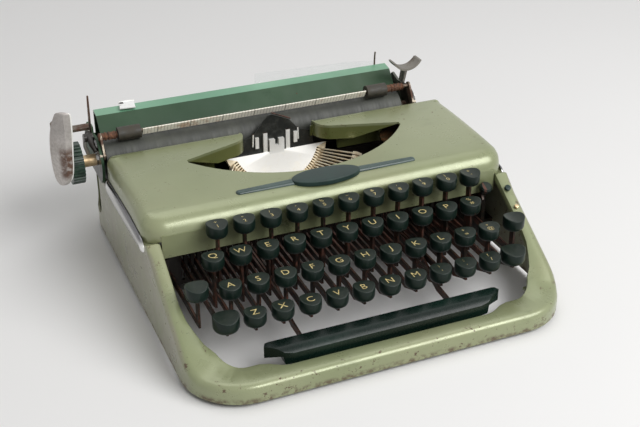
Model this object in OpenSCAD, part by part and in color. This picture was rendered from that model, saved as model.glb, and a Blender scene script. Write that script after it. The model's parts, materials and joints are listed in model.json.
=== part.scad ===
// Flat portable typewriter. Lengths are millimetres and angles are degrees.
// Machine axes: X to the right, Y to the rear, Z up, and Z = 0 is the table.
// The last step of every sub-part moves it so that the origin is at the middle of the footprint.

/* [Body] */
// Width of the base housing
body_w = 274; // [268:1:290]
// Depth of the base housing
body_d = 286; // [280:1:300]
// Front edge of the base housing
body_front_y = -2; // [-4:0.5:0]
// Plan radius of the front corners
front_corner_r = 40; // [32:1:46]
// Plan radius of the rear corners
rear_corner_r = 30; // [24:1:36]
// Wall thickness of the housing and the cover
sheet = 1.6; // [1.2:0.1:2]
// Height of the lower edge of the housing above the table
base_clear = 3; // [2:0.5:4]
// Height of the front rim
rim_h = 15.8; // [14:0.1:18]
// Height of the side band where it meets the cover
band_rear_h = 67.2; // [64:0.2:70]
// Width of the side band at the cover
band_rear_w = 10; // [8:0.5:12]
// Width of the front band beside the space bar
band_front_w = 22; // [19:0.5:24]
// Width of the front band behind which the space bar moves
rim_notch_w = 14.5; // [12:0.5:16]
// Height of the seam just behind the band
seam_front_h = 65; // [63:0.5:66]
// Height of the seam at the rear of the cover
seam_rear_h = 55.5; // [54:0.25:56]
// Diameter of a rubber foot
foot_d = 16; // [12:1:18]

/* [Cover] */
// Front face of the cover
cover_front_y = 103; // [102:0.5:105]
// Distance from the cover's rear face back to the centre of the platen
cover_platen_gap = 21; // [20.5:0.5:24]
// Highest point of the cover
cover_h = 85.2; // [83:0.1:88]
// Radius of the rolled front edge
cover_front_roll = 13; // [9:0.5:14]
// Radius of the rolled side edges
cover_side_roll = 9; // [6:0.5:12]
// Lower edge of the front face between the side bands
apron_z = 54.5; // [52:0.5:58]
// Half of the crescent opening's width, at its tips
crescent_half_w = 84.5; // [78:0.5:88]
// Depth of the crescent opening at the middle, from the cover's rear face
crescent_depth = 77.5; // [72:0.5:82]
// Distance of the crescent opening's tips from the cover's rear face
crescent_tip_depth = 35.5; // [32:0.5:40]
// Half of the gap between the inner ends of the two wings
wing_gap_half = 29; // [28:0.5:32]
// Depth of the turned-down wall of a wing
wing_wall_h = 10; // [6:0.5:11]

/* [Keyboard] */
// Distance between neighbouring keys of a row
key_pitch = 19.05; // [18.6:0.05:19.4]
// Diameter of a key cap
cap_d = 15; // [13:0.25:15.5]
// Height of a key cap from its underside to the middle of its top
cap_h = 8.5; // [7:0.25:9]
// Lowest row's key centres, from the front of the machine
first_row_y = 36.8; // [35:0.1:38]
// Lowest row's key tops, above the table
first_row_z = 42.8; // [41:0.1:44]
// Distance from one row to the next, to the rear
row_step_y = 19.1; // [18.6:0.1:19.6]
// Rise from one row to the next
row_rise = 11.7; // [10:0.1:12]
// Thickness of a key lever
lever_t = 1.5; // [1:0.1:1.8]
// Height of a key lever
lever_h = 5; // [4:0.25:5.5]
// Distance from the key lever shaft back to the centre of the platen
shaft_platen_gap = 35; // [33:1:39]
// Height of the key lever shaft
shaft_z = 27.5; // [26:0.5:28]
// Diameter of the key lever shaft
shaft_d = 4; // [3:0.25:5]
// Radial clearance of a turning fit
run_fit = 0.05; // [0.02:0.01:0.1]
// Half of the space bar's length, at its tips
space_bar_half_w = 85.6; // [80:0.2:88]

/* [Type action] */
// Printing point and segment centre, to the right of the middle
type_x = -4; // [-6:0.5:0]
// Number of type bars
bar_count = 43; // [30:1:43]
// Radius of the arc on which the type bars turn
bar_arc_r = 40; // [38:0.5:42]
// Length of a type bar from its pivot to its slug
bar_len = 38; // [34:0.5:40]
// Slope of the segment's face
segment_tilt = 65; // [60:1:70]
// Diameter of a ribbon spool
spool_d = 44; // [38:1:46]

/* [Carriage] */
// Left end plate's outer face, from the middle of the machine
carriage_left_x = -139; // [-142:0.5:-138.5]
// Right end plate's outer face
carriage_right_x = 119; // [112:0.5:120]
// Diameter of the platen roller
platen_d = 32; // [28:0.5:33]
// Distance from the centre of the platen back to the carriage rail
platen_rail_gap = 24; // [23:0.25:24.5]
// Height of the platen's centre
platen_z = 72.5; // [72.5:0.25:74]
// Diameter of the platen shaft
platen_shaft_d = 8; // [6:0.5:9]
// Diameter of the platen knob
knob_d = 31; // [26:0.5:32]
// Height of the return lever's pad
pad_h = 60; // [50:1:62]
// Top edge of the paper table
table_top_z = 97; // [95:0.5:100]

/* [Hidden] */
$fn = 48;
FINE = 0.01;

half_w = body_w / 2;
body_rear_y = body_front_y + body_d;
rail_rear_gap = 29;
rail_y = body_rear_y - rail_rear_gap;
platen_y = rail_y - platen_rail_gap;
cover_rear_y = platen_y - cover_platen_gap;
crescent_front_y = cover_rear_y - crescent_depth;
crescent_tip_y = cover_rear_y - crescent_tip_depth;
shaft_y = platen_y - shaft_platen_gap;
type_y = platen_y - 17;
guide_y = platen_y - 20;

// Rows of character keys from the front: first key's place in pitches, key names
ROWS = [
    [-4.5, ["z", "x", "c", "v", "b", "n", "m", "comma", "period", "slash"]],
    [-5, ["a", "s", "d", "f", "g", "h", "j", "k", "l", "semicolon", "at"]],
    [-5.25, ["q", "w", "e", "r", "t", "y", "u", "i", "o", "p", "half"]],
    [-4.75, ["1", "2", "3", "4", "5", "6", "7", "8", "9", "0", "hyphen"]]
];
KEYS = [
    for (r = [0 : 3])
        for (k = [0 : len(ROWS[r][1]) - 1])
            [str("type_key_", ROWS[r][1][k]), (ROWS[r][0] + k) * key_pitch, r]
];

// Heights of the housing's upper edge along its side
band_front_y = 20;
band_slope = (band_rear_h - rim_h) / (cover_front_y - band_front_y);
function band_h(y) = max(rim_h, rim_h + band_slope * (y - band_front_y));
function seam_h(y) = lookup(y, [
    [cover_front_y, band_rear_h],
    [cover_front_y + 5, seam_front_h],
    [cover_front_y + 40, seam_front_h - 2.4],
    [cover_rear_y, seam_rear_h + 1],
    [cover_rear_y + 4, seam_rear_h]
]);
function top_h(y) = y < cover_front_y ? band_h(y) : seam_h(y);

// Smooth step from 0 to 1 between a and b
function ease(a, b, v) = let (t = min(1, max(0, (v - a) / (b - a)))) t * t * (3 - 2 * t);

// Band width at a point of the outline, from its place and the direction of the wall
notch_in_x = 72;
notch_out_x = 90;
function band_w(x, y) =
    y < body_front_y + front_corner_r * 0.6
        ? rim_notch_w + (band_front_w - rim_notch_w) * ease(notch_in_x, notch_out_x, abs(x))
        : band_front_w + (band_rear_w - band_front_w) * ease(body_front_y + front_corner_r * 0.6, 62, y);

// Outer outline of the right half, from the front middle to the rear middle: x, y, inward normal
corner_x = half_w - front_corner_r;
corner_y = body_front_y + front_corner_r;
rear_corner_x = half_w - rear_corner_r;
rear_corner_y = body_rear_y - rear_corner_r;
side_span = rear_corner_y - cover_front_y;
OUTLINE_RIGHT = concat(
    [for (x = [0, 40, notch_in_x, 76, 80, 84, notch_out_x]) [x, body_front_y, 0, 1]],
    [for (a = [0 : 10 : 90])
        [corner_x + front_corner_r * sin(a), corner_y - front_corner_r * cos(a), -sin(a), cos(a)]],
    [for (y = [46, 54, 64, 76, 90, cover_front_y - 0.3]) [half_w, y, -1, 0]],
    [for (f = [0.01, 0.035, 0.27, 0.5, 0.7, 0.74, 0.9]) [half_w, cover_front_y + f * side_span, -1, 0]],
    [for (a = [0 : 15 : 90])
        [rear_corner_x + rear_corner_r * cos(a), rear_corner_y + rear_corner_r * sin(a), -cos(a),
            -sin(a)]],
    [[50, body_rear_y, 0, -1], [0, body_rear_y, 0, -1]]
);
function mirrored(list) = [for (i = [len(list) - 2 : -1 : 1]) [-list[i][0], list[i][1], -list[i][2],
    list[i][3]]];

// Cross-section of the housing wall and band: inward distance and drop below the upper edge
band_lip = 5;
function section(w, r) = let (q = max(r - sheet, 0.3), m = sheet + q) concat(
    [for (a = [0 : 22.5 : 90]) [r - r * cos(a), r - r * sin(a)]],
    [for (a = [0 : 45 : 90]) [w - 2.2 + 2.2 * sin(a), 2.2 - 2.2 * cos(a)]],
    [[w, band_lip], [w - sheet, band_lip], [w - sheet, sheet]],
    [for (a = [90 : -30 : 0]) [m - q * cos(a), m - q * sin(a)]]
);
edge_round = 5;
seam_round = 1.2;
function section_at(s) = section(
    band_w(s[0], s[1]),
    edge_round + (seam_round - edge_round) * ease(cover_front_y - 12, cover_front_y + 3, s[1])
);
function wall_ring(s) = let (p = section_at(s), last = len(p) - 1) concat(
    [[s[0], s[1], base_clear]],
    [for (q = p) let (y = s[1] + s[3] * q[0]) [s[0] + s[2] * q[0], y, top_h(y) - q[1]]],
    [[s[0] + s[2] * sheet, s[1] + s[3] * sheet, base_clear]]
);

// Closed ring of equal polygons: each pair of neighbours is joined by triangles
module ring_solid(rings) {
    n = len(rings);
    m = len(rings[0]);
    polyhedron(
        points = [for (r = rings) each r],
        faces = [
            for (i = [0 : n - 1])
                for (j = [0 : m - 1])
                    let (a = i * m + j, b = i * m + (j + 1) % m)
                    let (c = ((i + 1) % n) * m + (j + 1) % m, d = ((i + 1) % n) * m + j)
                    for (f = [[a, b, c], [a, c, d]]) f
        ]
    );
}

// Places that several sub-parts share
rail_w = 12;
rail_top_z = 50.6;
rail_bar_h = 16;
rail_gap = 0.4;
carriage_top_z = 57;
notch_half_w = 12.5;
notch_floor_z = 16;
foot_pad_z = 8;
foot_pad_t = 2;
foot_stem_r = 3;
front_foot_r = front_corner_r - 11;
rear_foot_r = rear_corner_r - 11;
FEET = [
    for (s = [-1, 1]) each [
        [s * (corner_x + front_foot_r * sin(45)), corner_y - front_foot_r * cos(45)],
        [s * (rear_corner_x + rear_foot_r * cos(45)), rear_corner_y + rear_foot_r * sin(45)]
    ]
];
side_plate_x = 121;
side_plate_t = 3;
side_plate_front_y = 108;
shaft_r = shaft_d / 2;
lever_slot = 0.4;
spool_x = 94;
spool_y = crescent_tip_y + 4.5;
spool_z = 58;
spool_h = 14;
spool_post_r = 2.4;
type_z = 75;

// Footprint: the return lever's pad is the leftmost piece, the housing is the rest
pad_r = 24.6;
pad_t = 2;
pad_centre_x = carriage_left_x - 7.6;
pad_centre_y = platen_y + 1.9;
reach_left_x = pad_centre_x - pad_r;
origin_x = (reach_left_x + half_w) / 2;
origin_y = body_front_y + body_d / 2;
module placed() {
    translate([-origin_x, -origin_y, 0]) children();
}

// A plate that stands in the YZ plane, centred on x, from an outline of Y and Z
module plate_yz(x, t) {
    translate([x - t / 2, 0, 0]) rotate([90, 0, 90]) linear_extrude(t) children();
}
// A round bar along X
module bar_x(r, x0, x1, y, z) {
    translate([x0, y, z]) rotate([0, 90, 0]) cylinder(r = r, h = x1 - x0);
}
// A box from two corners
module block(a, b) {
    translate(a) cube(b - a);
}

module foot_pads() {
    for (s = [0, 1]) mirror([s, 0, 0]) {
        translate([corner_x, corner_y, foot_pad_z]) rotate(-90) rotate_extrude(angle = 90)
            translate([front_corner_r - 21, 0]) square([20, foot_pad_t]);
        translate([rear_corner_x, rear_corner_y, foot_pad_z]) rotate_extrude(angle = 90)
            translate([rear_corner_r - 21, 0]) square([20, foot_pad_t]);
    }
}
module rail_notches() {
    r = notch_half_w;
    for (s = [-1, 1]) translate([s * half_w - 14, rail_y, 0]) {
        translate([0, 0, notch_floor_z + r]) rotate([0, 90, 0]) cylinder(r = r, h = 28);
        translate([0, -r, notch_floor_z + r]) cube([28, 2 * r, 60]);
    }
}
module base_housing() {
    placed() color("darkseagreen") difference() {
        union() {
            ring_solid([for (s = concat(OUTLINE_RIGHT, mirrored(OUTLINE_RIGHT))) wall_ring(s)]);
            foot_pads();
        }
        rail_notches();
        for (f = FEET) translate([f[0], f[1], foot_pad_z - 1])
            cylinder(r = foot_stem_r + 0.1, h = foot_pad_t + 2);
    }
}

module rubber_feet() {
    placed() color("dimgray") for (f = FEET) translate([f[0], f[1], 0]) rotate_extrude() polygon([
        [0, 0], [foot_d / 2 - 1.5, 0], [foot_d / 2, 1.5], [foot_d / 2 - 1, foot_pad_z],
        [foot_stem_r, foot_pad_z], [foot_stem_r, foot_pad_z + foot_pad_t],
        [foot_stem_r + 1.5, foot_pad_z + foot_pad_t], [foot_stem_r, foot_pad_z + foot_pad_t + 2.5],
        [0, foot_pad_z + foot_pad_t + 2.5]
    ]);
}

// The cover is a pan: its outline rises from the seam, rolls over and closes in a crowned top
cover_corner_r = 16;
cover_rear_corner_r = 6;
cover_rear_roll = 4;
seam_gap = 0.2;
crown_y = cover_rear_y - 30;
crown_drop = 0.00055;
function crown_h(y) = cover_h - crown_drop * pow(y - crown_y, 2);
PAN_RIGHT = let (c = cover_corner_r, q = cover_rear_corner_r) concat(
    [for (a = [0 : 18 : 90])
        [half_w - c + c * sin(a), cover_front_y + c - c * cos(a), -sin(a), cos(a)]],
    [for (f = [0.12, 0.3, 0.55, 0.8]) [half_w,
        cover_front_y + c + f * (cover_rear_y - cover_front_y - c - q), -1, 0]],
    [for (a = [0 : 30 : 90])
        [half_w - q + q * cos(a), cover_rear_y - q + q * sin(a), -cos(a), -sin(a)]]
);
PAN = concat(PAN_RIGHT, [for (i = [len(PAN_RIGHT) - 1 : -1 : 0])
    [-PAN_RIGHT[i][0], PAN_RIGHT[i][1], -PAN_RIGHT[i][2], PAN_RIGHT[i][3]]]);
function roll_r(s) = s[3] >= 0
    ? cover_side_roll + (cover_front_roll - cover_side_roll) * s[3]
    : cover_side_roll + (cover_rear_roll - cover_side_roll) * -s[3];
// Point of the pan on station s: t is the inset of the whole skin, a the angle round the roll
function pan_point(s, t, a) = let (r = max(roll_r(s) - t, 0.5), u = t + r * (1 - cos(a)),
    y = s[1] + s[3] * u)
    [s[0] + s[2] * u, y, crown_h(y) - t - r * (1 - sin(a))];
function pan_foot(s, t, z_drop) = let (y = s[1] + s[3] * t) [s[0] + s[2] * t, y,
    seam_h(s[1]) + seam_gap - z_drop];
module pan(t, z_drop) {
    n = len(PAN);
    half = n / 2;
    rings = concat(
        [[for (s = PAN) pan_foot(s, t, z_drop)]],
        [for (a = [0 : 15 : 90]) [for (s = PAN) pan_point(s, t, a)]]
    );
    k = len(rings);
    top = (k - 1) * n;
    polyhedron(
        points = [for (r = rings) each r],
        faces = concat(
            [for (i = [0 : k - 2]) for (j = [0 : n - 1])
                let (a = i * n + j, b = i * n + (j + 1) % n, c = b + n, d = a + n)
                for (f = [[a, c, b], [a, d, c]]) f],
            [for (j = [0 : half - 2])
                let (a = top + j, b = top + j + 1, c = top + n - 2 - j, d = top + n - 1 - j)
                for (f = [[a, c, b], [a, d, c]]) f],
            [for (j = [0 : half - 2])
                let (a = j, b = j + 1, c = n - 2 - j, d = n - 1 - j)
                for (f = [[a, b, c], [a, c, d]]) f]
        )
    );
}
// Plan of one wing: a round inner end and a straight front edge to the crescent's tip
wing_r = 14;
wing_centre_x = wing_gap_half + wing_r;
wing_centre_y = cover_rear_y - 4;
function wing_tangent(tip) =
    let (dx = tip[0] - wing_centre_x, dy = tip[1] - wing_centre_y, d = norm([dx, dy]))
    atan2(dy, dx) - acos(wing_r / d);
// g grows the outline into the opening, e is the reach beyond the wing's edge
function wing_outline(tip, g) = let (a = wing_tangent(tip), r = wing_r + g,
    m = [sin(a + 90), -cos(a + 90)]) concat(
    [[wing_centre_x - r, cover_rear_y + 30], [wing_centre_x - r, wing_centre_y]],
    [for (i = [1 : 6]) let (b = 180 + (a + 360 - 180) * i / 6)
        [wing_centre_x + r * cos(b), wing_centre_y + r * sin(b)]],
    [[tip[0] + g * cos(a), tip[1] + g * sin(a)]]
);
module wing_shape(side, g) {
    tip = [crescent_half_w - side * type_x, crescent_tip_y + 4];
    pts = wing_outline(tip, g);
    translate([type_x, 0]) mirror([side < 0 ? 1 : 0, 0])
        polygon(concat(pts, [[tip[0], crescent_tip_y], [130, crescent_tip_y - 6],
            [130, cover_rear_y + 30]]));
}
crescent_sag = crescent_tip_y - crescent_front_y;
crescent_r = (pow(crescent_half_w, 2) + pow(crescent_sag, 2)) / (2 * crescent_sag);
module opening_shape() {
    difference() {
        intersection() {
            translate([0, crescent_front_y + crescent_r]) circle(r = crescent_r, $fn = 96);
            translate([-crescent_half_w, crescent_front_y - 5]) square([2 * crescent_half_w, 100]);
        }
        wing_shape(1, 0);
        wing_shape(-1, 0);
    }
}
module wing_wall(side) {
    low_z = cover_h - sheet - wing_wall_h;
    intersection() {
        translate([0, 0, low_z]) linear_extrude(wing_wall_h + 0.6) intersection() {
            difference() {
                wing_shape(side, 0);
                wing_shape(side, -sheet);
            }
            translate([-crescent_half_w, crescent_tip_y + 1])
                square([2 * crescent_half_w, cover_rear_y - 2 - crescent_tip_y]);
        }
        translate([type_x, cover_rear_y + 40, 0]) mirror([side < 0 ? 1 : 0, 0]) rotate([90, 0, 0])
            linear_extrude(100) polygon([
            [wing_gap_half - 5, low_z - 1], [52, low_z - 1],
                [crescent_half_w - side * type_x - 1, cover_h - sheet],
            [crescent_half_w - side * type_x - 1, cover_h], [wing_gap_half - 5, cover_h]
        ]);
    }
}
module top_cover() {
    apron_half_w = half_w - band_rear_w - 1;
    placed() color("darkseagreen") resize([body_w, 0, 0]) difference() {
        union() {
            difference() {
                pan(0, 0);
                pan(sheet, 1);
            }
            block([-apron_half_w, cover_front_y, apron_z],
                [apron_half_w, cover_front_y + sheet, cover_h - cover_front_roll - 1]);
            wing_wall(1);
            wing_wall(-1);
        }
        translate([0, 0, cover_h - sheet - 4]) linear_extrude(20) opening_shape();
        block(
            [type_x - rim_r - 8, cover_rear_y - 3.5, seam_rear_h - 3],
            [type_x + rim_r + 8, cover_rear_y + 1, cover_h - sheet - wing_wall_h - 2]
        );
        block(
            [type_x - wing_gap_half + 1, cover_rear_y - 3.5, seam_rear_h - 3],
            [type_x + wing_gap_half - 1, cover_rear_y + 1, cover_h + 1]
        );
    }
}

// Inner frame: side plates, cross bars, lever shaft and comb, carriage rail, spool posts
shift_x = 22 * key_pitch / 4;
shift_lock_x = 117;
space_arm_x = 11.5 * key_pitch / 4;
LEVER_SLOTS = concat(
    [for (k = KEYS) k[1]],
    [for (s = [-1, 1]) each [s * shift_x, s * space_arm_x, s * shift_lock_x]]
);
comb_y = 133;
comb_t = 3;
comb_top_z = 36;
comb_floor_z = 12;
module side_plate() {
    plate_yz(side_plate_x + side_plate_t / 2, side_plate_t) polygon([
        [side_plate_front_y, 14], [rail_y + 17, 14], [rail_y + 17, rail_top_z - rail_bar_h],
        [rail_y - 15, rail_top_z - rail_bar_h], [rail_y - 15, 50], [side_plate_front_y, 50]
    ]);
    for (y = [side_plate_front_y + 12, rail_y - 33])
        block([side_plate_x + side_plate_t - 1, y - 6, 20], [half_w - sheet - 0.1, y + 6, 23]);
}
module inner_frame() {
    carrier_y = type_y;
    post_foot_z = 50;
    placed() {
        color("slategray") {
            difference() {
                union() {
                    side_plate();
                    mirror([1, 0, 0]) side_plate();
                    block([-side_plate_x - 1, comb_y, comb_floor_z],
                        [side_plate_x + 1, comb_y + comb_t, comb_top_z]);
                    block([-side_plate_x - 1, carrier_y, 20], [side_plate_x + 1, carrier_y + 3, 52]);
                    block([-side_plate_x - 1, rail_y - 11, 30],
                        [side_plate_x + 1, rail_y + 13, rail_top_z - rail_bar_h]);
                    block([-118, rail_y - rail_w / 2, rail_top_z - rail_bar_h - 1],
                        [118, rail_y + rail_w / 2, rail_top_z]);
                    for (s = [-1, 1]) {
                        translate([s * spool_x, spool_y, post_foot_z]) cylinder(r = 12, h = 2);
                        block([min(s * spool_x, s * (side_plate_x + 1)), spool_y - 9, post_foot_z],
                            [max(s * spool_x, s * (side_plate_x + 1)), spool_y + 9, post_foot_z + 2]);
                        translate([s * spool_x, spool_y, post_foot_z])
                            cylinder(r = spool_post_r + 2, h = spool_z - post_foot_z - 0.3);
                        translate([s * spool_x, spool_y, post_foot_z])
                            cylinder(r = spool_post_r, h = spool_z + spool_h + 3 - post_foot_z);
                    }
                }
                for (x = LEVER_SLOTS)
                    block([x - lever_t / 2 - lever_slot, comb_y - 1, comb_floor_z + 3],
                        [x + lever_t / 2 + lever_slot, comb_y + comb_t + 1, comb_top_z + 1]);
            }
            bar_x(shaft_r, -side_plate_x, side_plate_x, shaft_y, shaft_z);
            translate([-side_plate_x - side_plate_t, rail_y, 28]) rotate([0, -90, 0])
                cylinder(r = 12.5, h = 8);
        }
        color("darkolivegreen") bar_x(1.5, selector_x - 1.5, side_plate_x, selector_y, selector_z);
    }
}

// Segment frame: origin at the printing point, -Y down the slope, +Z towards the typist
bar_span = 130;
bar_t = 0.9;
slot_t = 1.1;
face_r = bar_arc_r - 4;
rim_r = bar_arc_r + 3;
segment_t = 4;
segment_top = 12;
module on_segment() {
    translate([type_x, type_y, type_z]) rotate([segment_tilt, 0, 0]) children();
}
function bar_angle(i) = -90 - bar_span / 2 + i * bar_span / (bar_count - 1);
module segment() {
    on_segment() difference() {
        intersection() {
            translate([0, 0, -segment_t]) cylinder(r = rim_r, h = segment_t, $fn = 96);
            translate([-60, -60, -10]) cube([120, 60 - segment_top, 20]);
        }
        for (i = [0 : bar_count - 1])
            rotate(bar_angle(i)) translate([face_r, -slot_t / 2, -segment_t - 1])
                cube([12, slot_t, segment_t + 2]);
    }
    for (s = [-1, 1]) intersection() {
        block([type_x + s * 18 - 4, type_y - 12, 46], [type_x + s * 18 + 4, type_y - 0.1, 52]);
        on_segment() translate([-60, -60, -40]) cube([120, 120, 40 - 1]);
    }
}
module type_bar(i) {
    lean = 25;
    slug_w = 2.2;
    on_segment() rotate(bar_angle(i)) translate([bar_arc_r, 0, -2]) rotate([0, lean, 0]) {
        rotate([90, 0, 0]) translate([0, 0, -bar_t / 2]) linear_extrude(bar_t) polygon([
            [-1.6, -0.6], [1.6, -0.6], [1.9, 8], [1.3, bar_len], [-1.3, bar_len], [-1.9, 8]
        ]);
        translate([-3, -slug_w / 2, bar_len]) cube([6, slug_w, 4]);
    }
}
guide_t = 1.2;
module type_guide() {
    wire_y = guide_y - 0.5;
    wire = [[-19, 70], [-18.5, 80], [-6, 95], [-3, 95.6], [12, 88.5], [18, 80], [18.5, 70]];
    translate([type_x, guide_y + guide_t, 0]) rotate([90, 0, 0]) linear_extrude(guide_t) polygon([
        [-31, 60], [31, 60], [31, 75], [19, 78], [12, 87], [-3, 94], [-6, 93.5], [-19, 78], [-31, 75]
    ]);
    for (i = [0 : len(wire) - 2]) {
        d = wire[i + 1] - wire[i];
        translate([type_x + wire[i][0], wire_y, wire[i][1]]) {
            sphere(r = 0.6, $fn = 16);
            rotate([0, atan2(d[0], d[1]), 0]) cylinder(r = 0.6, h = norm(d), $fn = 16);
        }
    }
    translate([type_x, guide_y + 0.1, 0]) rotate([90, 0, 0]) {
        linear_extrude(3) difference() {
            translate([-6, 61]) square([12, 13]);
            translate([-1.6, 69]) square([3.2, 6]);
        }
        linear_extrude(1.6) {
            for (x = [-10.5, 8]) translate([x, 61]) square([3.2, 19]);
            for (x = [-17, 14.5]) translate([x, 68]) square([2.8, 9]);
        }
    }
}
module type_basket() {
    placed() {
        color("ivory") union() {
            segment();
            type_guide();
        }
        color("tan") for (i = [0 : bar_count - 1]) type_bar(i);
    }
}

module ribbon_spool(side) {
    tooth_count = 24;
    r = spool_d / 2;
    placed() color("saddlebrown") translate([side * spool_x, spool_y, spool_z]) difference() {
        union() {
            cylinder(r = r, h = 1.2);
            cylinder(r = r - 5, h = spool_h);
            translate([0, 0, spool_h - 1.2]) difference() {
                cylinder(r = r, h = 1.2);
                for (i = [0 : tooth_count - 1]) rotate(i * 360 / tooth_count) translate([r, 0, -1])
                    cylinder(r = 1.3, h = 4, $fn = 16);
            }
            cylinder(r = 6, h = spool_h + 1.5);
        }
        translate([0, 0, -1]) cylinder(r = spool_post_r + run_fit, h = spool_h + 4);
    }
}
module ribbon_spool_left() {
    ribbon_spool(-1);
}
module ribbon_spool_right() {
    ribbon_spool(1);
}

// Ribbon colour selector: a small knob on a bent lever beside the number row
selector_x = 114.3;
selector_knob_x = 116.5;
selector_y = 122;
selector_z = 44;
selector_knob_y = 98;
selector_knob_z = 60;
module ribbon_selector() {
    placed() {
        color("darkslategray") translate([selector_knob_x, selector_knob_y, selector_knob_z])
            rotate([30, 0, 0])
            translate([0, 0, -3]) rotate_extrude()
                polygon([[0, 0], [3.4, 0], [4.6, 2], [4.6, 5], [3.6, 6], [0, 6]]);
        color("dimgray") difference() {
            plate_yz(selector_x, lever_t) polygon([
                [96, 52], [99, 56], [102, 54], [104.5, 48], [selector_y, selector_z + 4],
                    [selector_y + 5, selector_z],
                [selector_y, selector_z - 4], [102, 42]
            ]);
            bar_x(1.5 + run_fit, selector_x - 3, selector_x + 3, selector_y, selector_z);
        }
    }
}

// Levers rise a little below the keys and then run level to the common shaft
lever_rise = 0.2;
lever_start_z = first_row_z - cap_h - 7.8;
crest_y = 60;
function row_y(r) = first_row_y + r * row_step_y;
function row_z(r) = first_row_z + r * row_rise;
function lever_top(y) = y < crest_y
    ? lever_start_z + lever_rise * (y - first_row_y)
    : lookup(y, [
        [crest_y, lever_start_z + lever_rise * (crest_y - first_row_y)],
        [shaft_y, shaft_z + lever_h / 2]
    ]);
eye_r = shaft_r + 2.6;
stem_w = 5;
socket_h = 3;
socket_fit = 0.1;
nub_h = 4.5;
nub_fall_y = 14;
// Side view of a lever whose stem stands at y and reaches up into a cap's socket
module lever_outline(y, under_z) {
    stem_top = under_z + socket_h - socket_fit;
    neck = y + stem_w / 2;
    front = y - stem_w / 2;
    fall = y + nub_fall_y;
    short = under_z - lever_top(y) < 10 && fall < crest_y;
    polygon(concat(
        [[front, stem_top], [neck, stem_top]],
        short ? [[neck, under_z - 0.5], [fall, lever_top(fall)]] : [[neck, lever_top(neck)]],
        neck < crest_y ? [[crest_y, lever_top(crest_y)]] : [],
        [[shaft_y, lever_top(shaft_y)], [shaft_y, lever_top(shaft_y) - lever_h]],
        neck < crest_y ? [[crest_y, lever_top(crest_y) - lever_h]] : [],
        short
            ? [[fall, lever_top(fall) - lever_h], [neck, under_z - nub_h - 0.8],
                [front, under_z - nub_h + 0.5]]
            : [[neck, lever_top(neck) - lever_h], [front, lever_top(front) - lever_h + 1.5]]
    ));
}
module lever(x, y, under_z) {
    difference() {
        plate_yz(x, lever_t) union() {
            lever_outline(y, under_z);
            translate([shaft_y, shaft_z]) circle(r = eye_r);
        }
        bar_x(shaft_r + run_fit, x - lever_t, x + lever_t, shaft_y, shaft_z);
    }
}
// Room in a cap's underside for the stem of its lever
module socket(x, y, under_z) {
    block(
        [x - lever_t / 2 - socket_fit, y - stem_w / 2 - socket_fit, under_z - 1],
        [x + lever_t / 2 + socket_fit, y + stem_w / 2 + socket_fit, under_z + socket_h]
    );
}
// Round cap: straight wall, rounded underside, and a top scooped from side to side
module cap(x, y, z, d, h) {
    r = d / 2;
    scoop_r = 17;
    rim = scoop_r - sqrt(pow(scoop_r, 2) - pow(r - 0.5, 2));
    translate([x, y, z]) difference() {
        rotate_extrude() polygon([
            [0, -h], [r - 1.7, -h], [r - 0.7, -h + 0.8], [r - 0.15, -h + 2.1], [r, -h + 3.4],
            [r, rim - 0.5], [r - 0.5, rim], [0, rim]
        ]);
        translate([0, r + 1, scoop_r]) rotate([90, 0, 0]) cylinder(r = scoop_r, h = d + 2, $fn = 96);
        socket(0, 0, -h);
    }
}
module character_key(x, r) {
    placed() {
        color("darkslategray") cap(x, row_y(r), row_z(r), cap_d, cap_h);
        color("dimgray") lever(x, row_y(r), row_z(r) - cap_h);
    }
}

// Shift keys share a bail that turns on the lever shaft
shift_cap_d = 17.5;
shift_y = 38;
shift_z = first_row_z;
lock_y = 58;
lock_z = 57;
bail_y = shaft_y - 12;
bail_z = 14;
bail_r = 2;
module shift_keys() {
    lock_d = 15.5;
    placed() {
        color("darkslategray") {
            for (s = [-1, 1]) cap(s * shift_x, shift_y, shift_z, shift_cap_d, cap_h);
            cap(-shift_lock_x, lock_y, lock_z, lock_d, cap_h);
        }
        color("dimgray") {
            for (k = [[-shift_x, shift_y, shift_z], [shift_x, shift_y, shift_z],
                [-shift_lock_x, lock_y, lock_z]]) {
                lever(k[0], k[1], k[2] - cap_h);
                plate_yz(k[0], lever_t) difference() {
                    polygon([
                        [bail_y - 4, shaft_z - lever_h / 2 - socket_fit], [bail_y - 4, bail_z - 3],
                        [bail_y + 4, bail_z - 3], [bail_y + 6, shaft_z - lever_h / 2 - socket_fit]
                    ]);
                    translate([bail_y, bail_z]) circle(r = bail_r + socket_fit);
                }
            }
            bar_x(bail_r, -shift_lock_x - 2, shift_x + 2, bail_y, bail_z);
        }
    }
}

module backspace_key() {
    back_y = 58.7;
    back_z = 56;
    back_d = 15.5;
    placed() {
        color("darkslategray") cap(shift_lock_x, back_y, back_z, back_d, cap_h);
        color("dimgray") difference() {
            plate_yz(shift_lock_x, lever_t) union() {
                lever_outline(back_y, back_z - cap_h);
                translate([shaft_y, shaft_z]) circle(r = eye_r);
            }
            bar_x(shaft_r + run_fit, shift_lock_x - lever_t, shift_lock_x + lever_t, shaft_y, shaft_z);
        }
    }
}

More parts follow.
